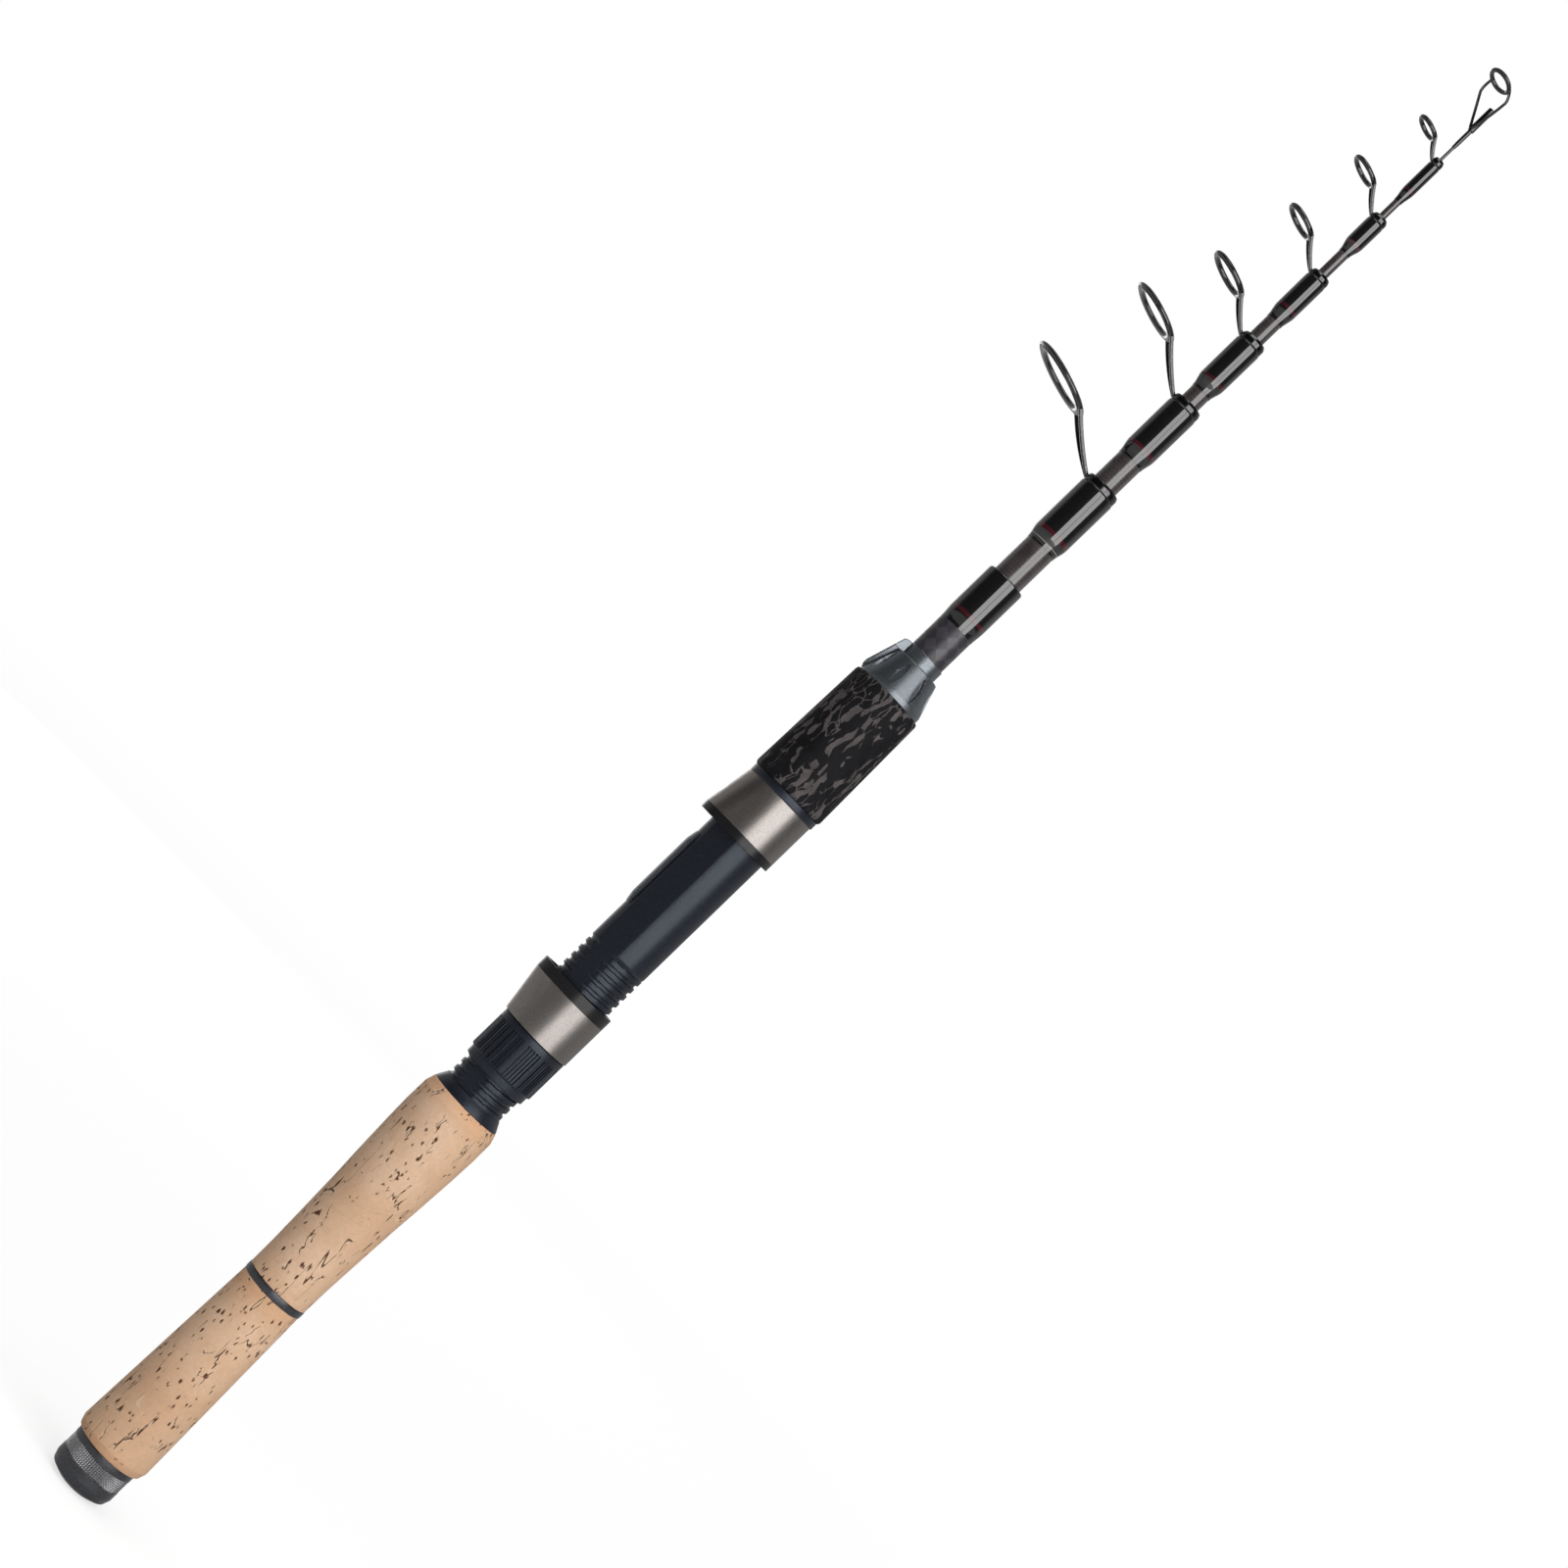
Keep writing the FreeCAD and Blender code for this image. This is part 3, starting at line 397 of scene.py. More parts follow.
def wound_turns(graph, rod, pitch):
    """Relief of what is wound round the rod: 0 between two turns, 0.5 on the middle of one."""
    turns = graph.math("DIVIDE", rod["Angle"], tau)
    climb = graph.math("MULTIPLY", rod["Height"], 1.0 / pitch)
    lay = graph.math("ADD", climb, turns)
    lay = graph.math("FRACT", lay)
    return graph.math("PINGPONG", lay, 0.5)


def new_material(name, **constants):
    """Material with its shader, whose constant values go on the shader's own sockets."""
    material = bpy.data.materials.new(name)
    material.use_nodes = True
    tree = material.node_tree
    tree.nodes.clear()
    graph = Graph(tree)
    shader = graph.node("ShaderNodeBsdfPrincipled")
    out = graph.node("ShaderNodeOutputMaterial")
    tree.links.new(shader.outputs[0], out.inputs[0])
    for key, value in constants.items():
        socket = shader.inputs[key.replace("_", " ")]
        socket.default_value = paint(value) if socket.type == "RGBA" else value
    return material, graph, shader


def grained(name, dark, light, roughness, variation, scale, depth, **constants):
    """Plain hard finish: two close tones in fine clouds, with a grained surface."""
    material, graph, shader = new_material(name, **constants)
    grain = graph.group(GROUPS["grain"], {
        "Scale": scale, "Depth": depth, "Roughness": roughness, "Variation": variation})
    tone = graph.ramp(grain["Grain"], [(0.3, dark), (0.7, light)])
    graph.join(shader.inputs, Base_Color=tone, Roughness=grain["Roughness"],
               Normal=grain["Normal"])
    return material


def cork_material():
    """Natural cork: warm clouds of tone, short brown pores and darker, deeper pits."""
    material, graph, shader = new_material("natural_cork", Specular_IOR_Level=0.25)
    rod = graph.group(GROUPS["rod"], {"Radius": 0.011})
    place = graph.place()

    clouds = graph.noise(place, 38.0, 4.0, 0.55)
    base = graph.ramp(clouds, [
        (0.30, (0.62, 0.38, 0.235)), (0.48, (0.68, 0.44, 0.28)), (0.62, (0.74, 0.50, 0.34)),
        (0.78, (0.70, 0.45, 0.285))])
    speckle = graph.noise(place, 900.0, 3.0, 0.7)
    speckle = graph.range(speckle, 0.3, 0.7, 0.93, 1.05)
    base = graph.mix(1.0, base, speckle, "MULTIPLY")
    # Warmer, darker bands at the cork's ends, beside the cap, the check ring and the collar cone
    for middle, half in CORK_END_TINTS:
        end_tint = graph.math("MULTIPLY", band_mask(graph, rod, middle, half, 6.0), 0.45)
        base = graph.mix(end_tint, base, (0.62, 0.30, 0.13, 1.0))

    # Growth lines: faint thin bands of a slow wave through the cork
    lines = graph.noise(place, 22.0, 3.0, 0.5, 0.6)
    lines = graph.math("MULTIPLY", lines, 26.0)
    lines = graph.math("FRACT", lines)
    lines = graph.math("SUBTRACT", lines, 0.5)
    lines = graph.math("ABSOLUTE", lines)
    lines = graph.range(lines, 0.07, 0.0)
    where = graph.noise(place, 45.0, 2.0, 0.5)
    where = graph.range(where, 0.52, 0.62, 0.0, 0.22)
    lines = graph.math("MULTIPLY", lines, where, clamp=True)
    base = graph.mix(lines, base, (0.42, 0.20, 0.10, 1.0))

    # Pores lie in patches, and run a little longer along the rod than round it
    stretch = graph.node("ShaderNodeMapping", {
        "Vector": place, "Scale": (1.0, 1.0, 0.5)}).outputs[0]
    warp = graph.noise(stretch, 800.0, 3.0, 0.7)
    holes = None
    # Scale of the pores, where their patches start and how far a pore reaches
    for scale, threshold, reach in ((620.0, 0.475, 0.44), (320.0, 0.53, 0.31)):
        patches = graph.noise(place, scale * 0.13, 3.0, 0.6)
        patches = graph.range(patches, threshold, threshold + 0.05)
        pores = graph.node("ShaderNodeTexVoronoi", {
            "Vector": stretch, "Scale": scale, "Randomness": 1.0}, feature="F1")
        ragged = graph.math("MULTIPLY", warp, 1.1)
        ragged = graph.math("ADD", pores.outputs["Distance"], ragged)
        pore = graph.range(ragged, reach + 0.33, reach + 0.24)
        pore = graph.math("MULTIPLY", pore, patches, clamp=True)
        holes = graph.math("MAXIMUM", holes, pore) if holes else pore

    # Streak cracks: lines of one value in a stretched noise, where another noise allows them
    long_way = graph.node("ShaderNodeMapping", {
        "Vector": place, "Scale": (1.0, 1.0, 0.22)}).outputs[0]
    pale = None
    # Scale of the noise, the value whose lines are cracks, and how wide they are
    for scale, at, wide in ((230.0, 0.53, 0.020), (150.0, 0.50, 0.010)):
        crack = graph.noise(long_way, scale, 3.0, 0.6, 0.5)
        crack = graph.math("SUBTRACT", crack, at)
        crack = graph.math("ABSOLUTE", crack)
        allow = graph.noise(stretch, scale * 1.1, 2.0, 0.5)
        allow = graph.range(allow, 0.565, 0.60)
        rim = graph.range(crack, wide * 2.6, wide * 1.2)
        rim = graph.math("MULTIPLY", rim, allow, clamp=True)
        pale = graph.math("MAXIMUM", pale, rim) if pale else rim
        crack = graph.range(crack, wide, wide * 0.4)
        crack = graph.math("MULTIPLY", crack, allow, clamp=True)
        holes = graph.math("MAXIMUM", holes, crack)

    pale = graph.math("MULTIPLY", pale, 0.5)
    base = graph.mix(pale, base, (0.80, 0.60, 0.42, 1.0))
    colour = graph.mix(holes, base, (0.115, 0.048, 0.022, 1.0))
    rough = graph.range(holes, 0.0, 1.0, 0.62, 0.9)
    fine = graph.math("MULTIPLY", speckle, 0.12)
    depth = graph.math("SUBTRACT", fine, holes)
    bump = graph.bump(depth, 0.6, 0.0003)
    graph.join(shader.inputs, Base_Color=colour, Roughness=rough, Normal=bump)
    return material


def camouflage_foam_material():
    """Black foam with angular grey-brown patches and branching streaks."""
    material, graph, shader = new_material("camouflage_foam", Specular_IOR_Level=0.15)
    place = graph.place()

    # Angular patches: large and small cells chosen by their own random value, with bent
    # edges, and thin veins along the borders of some other cells
    drift = graph.node("ShaderNodeTexNoise", {
        "Vector": place, "Scale": 130.0, "Detail": 3.0}).outputs["Color"]
    drift = graph.vector("SUBTRACT", {0: drift, 1: (0.5, 0.5, 0.5)})
    drift = graph.vector("SCALE", {0: drift, "Scale": 0.0045})
    bent = graph.vector("ADD", {0: place, 1: drift})
    lean = graph.node("ShaderNodeMapping", {
        "Vector": bent, "Rotation": (0.5, 0.6, 0.2), "Scale": (1.6, 1.6, 0.48)}).outputs[0]
    patch = None
    # Scale of the cells, and the share of them that stays black
    for scale, share in ((330.0, 0.86), (600.0, 0.91)):
        cells = graph.node("ShaderNodeTexVoronoi", {"Vector": lean, "Scale": scale})
        chosen = graph.node("ShaderNodeSeparateColor", {0: cells.outputs["Color"]}).outputs[0]
        chosen = graph.math("GREATER_THAN", chosen, share)
        patch = graph.math("MAXIMUM", patch, chosen) if patch else chosen
    borders = graph.node("ShaderNodeTexVoronoi", {"Vector": lean, "Scale": 330.0},
                         feature="DISTANCE_TO_EDGE").outputs["Distance"]
    vein = graph.range(borders, 0.050, 0.028)
    allow = graph.noise(lean, 150.0, 2.0, 0.5)
    allow = graph.range(allow, 0.47, 0.51)
    vein = graph.math("MULTIPLY", vein, allow, clamp=True)
    marks = graph.math("MAXIMUM", patch, vein)
    tone = graph.noise(place, 260.0, 3.0, 0.6)
    grey = graph.ramp(tone, [(0.35, (0.062, 0.054, 0.055)), (0.65, (0.105, 0.092, 0.090))])
    black = graph.ramp(tone, [(0.35, (0.005, 0.005, 0.006)), (0.65, (0.010, 0.009, 0.011))])
    colour = graph.mix(marks, black, grey)
    cells = graph.node("ShaderNodeTexVoronoi", {"Vector": place, "Scale": 1500.0})
    bump = graph.bump(cells.outputs["Distance"], 0.35, 0.00015)
    rough = graph.range(tone, 0.3, 0.7, 0.62, 0.78)
    graph.join(shader.inputs, Base_Color=colour, Roughness=rough, Normal=bump)
    return material


def woven_blank_material():
    """Tube of crossed carbon tapes in broad diamonds, alternate ones painted lighter as sheen.
    """
    material, graph, shader = new_material("woven_blank", Coat_Weight=0.25, Coat_Roughness=0.35)
    radius = TUBES[0][1] * MM
    rod = graph.group(GROUPS["rod"], {"Radius": radius})
    turns = graph.math("MULTIPLY", rod["Angle"], 4.0 / tau)
    climb = graph.math("MULTIPLY", rod["Height"], 4.0 / (tau * radius))
    tapes = []
    for sign in (1.0, -1.0):
        lay = graph.math("MULTIPLY", turns, sign)
        lay = graph.math("ADD", lay, climb)
        lay = graph.math("FRACT", lay)
        tapes.append(graph.math("GREATER_THAN", lay, 0.5))
    sheen_checks = graph.math("SUBTRACT", tapes[0], tapes[1])
    sheen_checks = graph.math("ABSOLUTE", sheen_checks)
    place = graph.place()
    haze = graph.noise(place, 240.0, 3.0, 0.6)
    haze = graph.range(haze, 0.3, 0.7, 0.85, 1.15)
    # Painted sheen: the same carbon gets a lighter tone on one set of diamonds
    tone = graph.ramp(sheen_checks, [(0.0, (0.026, 0.023, 0.030)), (1.0, (0.050, 0.045, 0.055))])
    tone = graph.mix(1.0, tone, haze, "MULTIPLY")
    rough = graph.range(sheen_checks, 0.0, 1.0, 0.44, 0.34)
    graph.join(shader.inputs, Base_Color=tone, Roughness=rough)
    return material


def dark_blank_material():
    """Varnished tube: smoky brown, with fine turns of tape under the gloss."""
    material, graph, shader = new_material("dark_blank", Coat_Weight=0.9,
                                           Coat_Roughness=0.13, Coat_IOR=1.75)
    rod = graph.group(GROUPS["rod"], {"Radius": 0.004})
    ridge = wound_turns(graph, rod, 0.0011)
    place = graph.place()
    haze = graph.noise(place, 300.0, 3.0, 0.6)
    # Painted shade: darker in the seams between the turns of tape, over random haze
    seam_shade_and_haze = graph.math("MULTIPLY", ridge, 0.6)
    seam_shade_and_haze = graph.math("ADD", seam_shade_and_haze, haze)
    tone = graph.ramp(seam_shade_and_haze, [(0.35, (0.032, 0.025, 0.025)), (0.85, (0.058, 0.046, 0.045))])
    bump = graph.bump(ridge, 0.15, 0.0001)
    rough = graph.range(haze, 0.3, 0.7, 0.32, 0.42)
    graph.join(shader.inputs, Base_Color=tone, Roughness=rough, Normal=bump)
    return material


def binding_material(name, red_bands, pale_lines):
    """Black winding thread under clear varnish, with bands of other thread at set heights."""
    material, graph, shader = new_material(
        name, Coat_Weight=1.0, Coat_Roughness=0.03, Coat_IOR=1.9, Specular_IOR_Level=0.1,
        Roughness=0.45)
    rod = graph.group(GROUPS["rod"], {"Radius": 0.005})
    strand = wound_turns(graph, rod, 0.00019)
    # Painted shade: the thread is darker in the grooves between its turns
    base = graph.ramp(strand, [(0.05, (0.002, 0.002, 0.0025)), (0.5, (0.006, 0.006, 0.007))])
    for bands, edge, dye in ((red_bands, 0.4, (0.060, 0.004, 0.009)),
                             (pale_lines, 0.08, (0.26, 0.23, 0.20))):
        for middle, half in bands:
            mask = band_mask(graph, rod, middle, half, edge)
            base = graph.mix(mask, base, paint(dye))
    bump = graph.bump(strand, 0.3, 0.00005)
    graph.join(shader.inputs, Base_Color=base, Normal=bump)
    return material


def floor_material():
    """Pale floor that the camera sees as white, apart from the object's shadow."""
    material, graph, shader = new_material("pale_floor", Base_Color=0.42, Roughness=0.9,
                                           Specular_IOR_Level=0.0)
    rays = graph.node("ShaderNodeLightPath").outputs
    place = graph.place()
    away = graph.node("ShaderNodeVectorMath", {0: place}, operation="LENGTH").outputs["Value"]
    near_white, far_white, mirrored_white = 0.68, 0.92, 0.15
    white = graph.range(away, 0.3, 3.0, near_white, far_white)
    seen = graph.math("MULTIPLY", rays["Is Camera Ray"], white)
    mirrored = graph.math("MAXIMUM", rays["Is Glossy Ray"], rays["Is Transmission Ray"])
    mirrored = graph.math("MULTIPLY", mirrored, mirrored_white)
    strength = graph.math("MAXIMUM", seen, mirrored)
    glow = graph.node("ShaderNodeEmission", {"Color": paint(1.0)})
    graph.tree.links.new(strength, glow.inputs["Strength"])
    both = graph.node("ShaderNodeAddShader", {0: shader.outputs[0], 1: glow.outputs[0]})
    out = next(node for node in graph.tree.nodes if node.type == "OUTPUT_MATERIAL")
    graph.tree.links.new(both.outputs[0], out.inputs[0])
    return material


def build_materials():
    return {
        "rubber": grained("black_rubber", (0.010, 0.010, 0.012), (0.020, 0.020, 0.023),
                          0.72, 0.08, 1400.0, 0.5, Specular_IOR_Level=0.3),
        "cap_metal": grained("dark_cap_metal", (0.080, 0.082, 0.090), (0.115, 0.118, 0.130),
                             0.30, 0.06, 1600.0, 0.10, Metallic=0.95),
        "knurl_metal": grained("knurled_metal", (0.30, 0.30, 0.31), (0.44, 0.44, 0.45),
                               0.18, 0.06, 1800.0, 0.02, Metallic=1.0),
        "black_plastic": grained("grained_black_plastic", (0.006, 0.007, 0.011),
                                 (0.011, 0.013, 0.020), 0.36, 0.08, 1500.0, 0.20,
                                 Specular_IOR_Level=0.55,
                                 Specular_Tint=(0.78, 0.87, 1.0)),
        "lip": grained("smooth_black_plastic", (0.006, 0.006, 0.007), (0.010, 0.010, 0.012),
                       0.28, 0.06, 1200.0, 0.12, Specular_IOR_Level=0.4),
        "hood": grained("satin_bronze", (0.27, 0.248, 0.232), (0.345, 0.318, 0.30),
                        0.34, 0.05, 2200.0, 0.16, Metallic=1.0),
        "cone": grained("blue_grey_satin", (0.16, 0.178, 0.195), (0.215, 0.232, 0.25),
                        0.33, 0.05, 2000.0, 0.12, Metallic=0.9),
        "frame": grained("dark_polished_steel", (0.075, 0.075, 0.08), (0.115, 0.115, 0.12),
                         0.16, 0.06, 1500.0, 0.05, Metallic=1.0),
        "ring": grained("dark_ceramic", (0.008, 0.008, 0.010), (0.014, 0.014, 0.017),
                        0.10, 0.03, 1200.0, 0.02, Coat_Weight=1.0, Coat_Roughness=0.03),
        "cork": cork_material(),
        "foam": camouflage_foam_material(),
        "woven": woven_blank_material(),
        "blank": dark_blank_material(),
    }


MATERIALS = build_materials()


# Butt and grips


def make_butt_cap():
    """Screw cap: a blunt cone, a band cut into small pyramids and a smooth rim."""
    radius = 10.25
    knurl_low, knurl_high = 6.7, 11.1
    ribs = 84
    rows = 7
    profile = rounded([
        (6.63, 1.73), (6.63, 0.6), (7.2, 0.6, 0.5), (9.45, 1.6, 1.1), (radius, 3.9, 1.2),
        (radius, knurl_low - 0.05), (radius, knurl_high + 0.05), (radius, BUTT_CAP_FRONT, 0.25),
        (8.58, BUTT_CAP_FRONT), (8.58, 3.1), (0.02, 3.1), (0.02, 1.73)])
    profile = spread_along(profile, knurl_low - 0.06, knurl_high + 0.06, 0.105)

    def relief(angle, r, z):
        if r < radius - 0.01 or not knurl_low < z < knurl_high:
            return r
        across = abs((angle * ribs / tau) % 1.0 - 0.5) * 2
        along = abs((z - knurl_low) / (knurl_high - knurl_low) * rows % 1.0 - 0.5) * 2
        return r - 0.42 * max(across, along)

    piece = turned("butt_cap_shell", profile, "butt_cap", MATERIALS["cap_metal"],
                   around=ribs * 8, relief=relief, sharp=40.0)
    piece.data.materials.append(MATERIALS["knurl_metal"])
    for face in piece.data.polygons:
        height = face.center.z / MM
        reach = Vector(face.center[:2]).length / MM
        if reach > 9.5 and knurl_low < height < knurl_high:
            face.material_index = 1
    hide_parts("butt_cap")


def make_butt_pad():
    """Rubber pad with a rounded edge and shallow rings in its face."""
    profile = rounded([(0.02, 1.7), (6.6, 1.7), (6.6, 0.0, 0.6)]) + [
        (5.2, 0.0), (5.0, 0.22), (4.7, 0.22), (4.5, 0.0), (3.1, 0.0), (2.9, 0.22), (2.6, 0.22),
        (2.4, 0.0), (0.02, 0.0)]
    piece = turned("butt_pad_rubber", profile, "butt_cap", MATERIALS["rubber"],
                   around=96)
    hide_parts("butt_pad")


def make_rear_grip():
    low, high = REAR_CORK
    profile = rounded([
        (9.43, low), (11.15, low, 0.5), (11.95, low + 2.4, 1.6), (10.2, high, 0.25),
        (5.7, high), (5.7, 30.03), (7.63, 30.03), (7.63, 14.78), (9.43, 14.78)], steps=6)
    piece = turned("rear_cork_grip", profile, "handle", MATERIALS["cork"], around=128)
    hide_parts("rear_grip")


def make_front_grip():
    """Cork that swells towards the reel seat, through a row of radii and round at its end."""
    low, high = FRONT_CORK
    swell = [(0.0, 10.2), (8.0, 10.3), (20.0, 10.75), (32.0, 11.25), (43.0, 11.9),
             (54.0, 12.45), (62.0, 12.7)]
    length, widest = swell[-1]
    profile = [(5.7, low)]
    places = 40
    for step in range(places + 1):
        reach = length * step / places
        for (z0, r0), (z1, r1) in zip(swell, swell[1:]):
            if z0 <= reach <= z1:
                profile.append((r0 + (r1 - r0) * (reach - z0) / (z1 - z0), low + reach))
                break
    profile += rounded([(widest, low + length), (12.62, high - 3.0, 2.2), (11.7, high, 0.5),
                        (5.7, high)], steps=7)[1:]
    piece = turned("front_cork_grip", profile, "handle", MATERIALS["cork"], around=128)
    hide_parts("front_grip")


def make_check_ring():
    low, high = CHECK_RING
    profile = rounded([(5.7, low), (10.35, low, 0.35), (10.35, high, 0.35), (5.7, high)])
    piece = turned("check_ring_band", profile, "handle", MATERIALS["cap_metal"],
                   around=128)
    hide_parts("grip_check_ring")


def make_foregrip():
    low, high = FOREGRIP
    profile = rounded([
        (5.7, low), (12.0, low, 0.5), (12.35, low + 0.9, 0.5), (11.6, high - 0.8, 0.5),
        (11.35, high, 0.4), (5.7, high)], steps=6)
    piece = turned("camouflage_foregrip", profile, "handle", MATERIALS["foam"],
                   around=128)
    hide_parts("foregrip")


def make_winding_check():
    """Cone with leaf-shaped recesses in its slope, a collar round the tube and a raised lug
    that runs along it on the guides' side."""
    low, land, cone_front, high = WINDING_CHECK
    rear, front, collar = CHECK_RADII
    lug_rear, lug_front = LUG_RADII
    bore = 5.7
    profile = rounded([
        (bore, low), (rear, low, 0.15), (rear, land, 0.4), (front, cone_front, 0.4),
        (collar, cone_front), (collar, high, 0.25), (bore, high)])
    profile = spread_along(profile, land - 0.2, cone_front + 0.2, 0.2)
    profile = spread_along(profile, cone_front - 0.1, high + 0.01, 0.3)
    middle = low + LEAF_START + LEAF_LENGTH / 2
    pitch = tau / LEAF_PLACES

    def leaf_depth(angle, r, z):
        along = (z - middle) / (LEAF_LENGTH / 2)
        if abs(along) >= 1.0 or r < front - 0.3:
            return 0.0
        turn = (angle - LEAF_TURN + pitch / 2) % pitch - pitch / 2
        wide = LEAF_WIDTH / 2 * (1.0 - along * along)
        return LEAF_DEPTH * ease((wide - abs(turn) * r) / 0.2 + 0.5)

    def relief(angle, r, z):
        if r < collar - 0.3:
            return r
        off = angle % tau - pi
        side = abs(r * sin(off))
        if abs(off) < 1.0 and side < LUG_HALF_WIDTH + 0.25 and low + 0.3 < z:
            share = max(0.0, (z - low - LUG_LEVEL) / (high - low - LUG_LEVEL))
            crest = (lug_rear + (lug_front - lug_rear) * share) / cos(off)
            end = sqrt(max(0.0, 1.0 - max(0.0, (z - high + 0.9) / 0.9) ** 2))
            rise = ease((LUG_HALF_WIDTH - side) / 0.4) * end
            if crest > r and rise > 0.0:
                return r + (crest - r) * rise
        return r - leaf_depth(angle, r, z)

    piece = turned("winding_check_cone", profile, "handle", MATERIALS["cone"],
                   around=720, relief=relief)
    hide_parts("winding_check")


def make_grip_collars():
    low, high = COLLAR_CONE
    profile = rounded([(9.7, low), (11.7, low, 0.25), (10.0, high, 0.12), (9.7, high)])
    piece = turned("grip_end_cone", profile, "handle", MATERIALS["black_plastic"],
                   around=128)
    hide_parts("grip_end_collar")
    low, high = FOREGRIP_COLLAR
    profile = rounded([(9.7, low), (11.8, low, 0.35), (11.8, high, 0.35), (9.7, high)])
    piece = turned("foregrip_end_ring", profile, "handle", MATERIALS["black_plastic"],
                   around=128)
    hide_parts("foregrip_collar")


# Reel seat


def flat_limit(angle):
    """Distance to the nearer flat of the barrel along a direction, or a large number."""
    limit = 1000.0
    for side in (1.0, -1.0):
        facing = atan2(side * cos(FLAT_TURN), -sin(FLAT_TURN))
        apart = cos(angle - facing)
        if apart > 0.1:
            limit = min(limit, FLAT_DISTANCE / apart)
    return limit


def make_barrel():
    """Tube with two flats. Its thread is a trapezoid that runs out at both ends."""
    low, high = BARREL
    thread_low, thread_high = THREAD
    # Half of the groove's floor and the width of each flank, as shares of the pitch
    half_floor, flank = 0.16, 0.10
    profile = [(BARREL_RADIUS, low), (BARREL_RADIUS, thread_low), (BARREL_RADIUS, thread_high),
               (BARREL_RADIUS, high), (BARREL_BORE, high), (BARREL_BORE, low)]
    profile = spread_along(profile, thread_low - 0.01, thread_high + 0.01, 0.16)

    def relief(angle, r, z):
        if r < BARREL_RADIUS - 0.01:
            return r
        limit = min(r, flat_limit(angle))
        if thread_low < z < thread_high:
            turn = (z / THREAD_PITCH - angle / tau) % 1.0
            rise = ease((abs(turn - 0.5) - half_floor) / flank)
            fade = ease((thread_high - z) / 2.2) * ease((z - thread_low) / 1.0)
            depth = (BARREL_RADIUS - THREAD_ROOT) * (1.0 - rise) * fade
            limit = min(limit, r - depth)
        return limit

    piece = turned("threaded_barrel", profile, "handle", MATERIALS["black_plastic"],
                   around=160, relief=relief, sharp=24.0)
    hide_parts("reel_seat_barrel")


def make_lock_nut():
    """Ring with groups of fine grip ribs between plain lands, a skirt and a plain collar."""
    low, high = LOCK_NUT
    bore, skirt, radius = BARREL_RADIUS + 0.08, 10.5, 11.15
    rib_low, rib_high = high - 12.9, high - 2.1
    profile = rounded([
        (bore, low), (skirt, low, 0.25), (skirt, low + 2.4, 0.1), (radius, low + 2.7, 0.3),
        (radius, rib_low), (radius, rib_high), (radius, high, 0.3), (bore, high)])
    profile = spread_along(profile, rib_low - 0.01, rib_high + 0.01, 0.25)

    def relief(angle, r, z):
        if r < radius - 0.01 or not rib_low < z < rib_high:
            return r
        sector = ((angle - NUT_TURN) * GROOVE_GROUPS / tau + 0.5) % 1.0 - 0.5
        place = sector * tau / GROOVE_GROUPS * radius / GROOVE_STEP
        if abs(place) > GROOVES_EACH / 2:
            return r
        across = abs(place - round(place)) * GROOVE_STEP
        end = min(ease((z - rib_low) / 0.35), ease((rib_high - z) / 0.35))
        return r - GROOVE_DEPTH * (1.0 - ease((across - GROOVE_HALF) / GROOVE_FLANK)) * end

    piece = turned("ribbed_lock_nut", profile, "lock_nut", MATERIALS["black_plastic"],
                   around=792, relief=relief, sharp=28.0)
    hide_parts("lock_nut")


# Tubes and their bindings

# Bands in each binding, as height and half width: the red ones, then the pale ones
BANDS = {
    1: ([(342.3, 0.55)], []),
    2: ([(374.6, 0.60)], [(371.5, 0.12)]),
    3: ([(408.6, 0.50)], []),
    4: ([(435.8, 0.40)], []),
    5: ([(464.4, 0.40)], []),
    6: ([(489.8, 0.35)], []),
    7: ([(511.1, 0.25)], []),
    8: ([], []),
}


def finish_node(name, finish):
    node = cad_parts[name]
    node.data.materials.clear()
    node.data.materials.append(MATERIALS[finish])


def make_blanks():
    for tube in range(1, len(TUBES) + 1):
        finish_node(section_node(tube, "blank"), "woven" if tube == 1 else "blank")


def binding_ends(tube):
    """Where the binding of a tube starts and ends: it stops at the foot of the guide."""
    front, _, _, start = TUBES[tube - 1]
    if tube == 1:
        return start, front
    if tube == len(TUBES):
        return start, TIP_BASE - TIP_FOOT
    return start, front - GUIDES[tube - 2][5]


def make_bindings():
    """Each binding swells from the tube on a smooth slope and ends in a full, round edge."""
    for tube, (_, blank, radius, _) in enumerate(TUBES, start=1):
        low, high = binding_ends(tube)
        length = high - low
        slope = min(4.5, 0.35 * length)
        crown = 2.0 if tube == 1 else 0.9
        crown = min(crown, (radius - blank) * 1.6)
        drop = radius - blank - 0.05 if tube == 1 else (radius - blank) * 0.35
        first_rise = 0.12
        swell = radius - blank - first_rise
        profile = [(blank + GLUE_GAP, low)]
        for step in range(13):
            share = step / 12
            rise = first_rise + swell * ease(share) * 0.96
            profile.append((blank + rise, low + slope * share))
        for step in range(1, 9):
            share = step / 9
            belly = radius - swell * 0.04 * (1.0 - share) ** 2
            profile.append((belly, low + slope + (length - slope - crown) * share))
        for step in range(9):
            angle = pi / 2 * step / 8
            profile.append((radius - drop * (1 - cos(angle)), high - crown + crown * sin(angle)))
        profile.append((blank + GLUE_GAP, high))
        red, pale = BANDS[tube]
        finish = binding_material(f"binding_{tube}", red, pale)
        name = "tip_binding" if tube == len(TUBES) else f"binding_{tube}"
        piece = turned(name, profile, section_body(tube), finish, around=72,
                       sharp=50.0)
        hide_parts(section_node(tube, "wrap"))


# Line guides


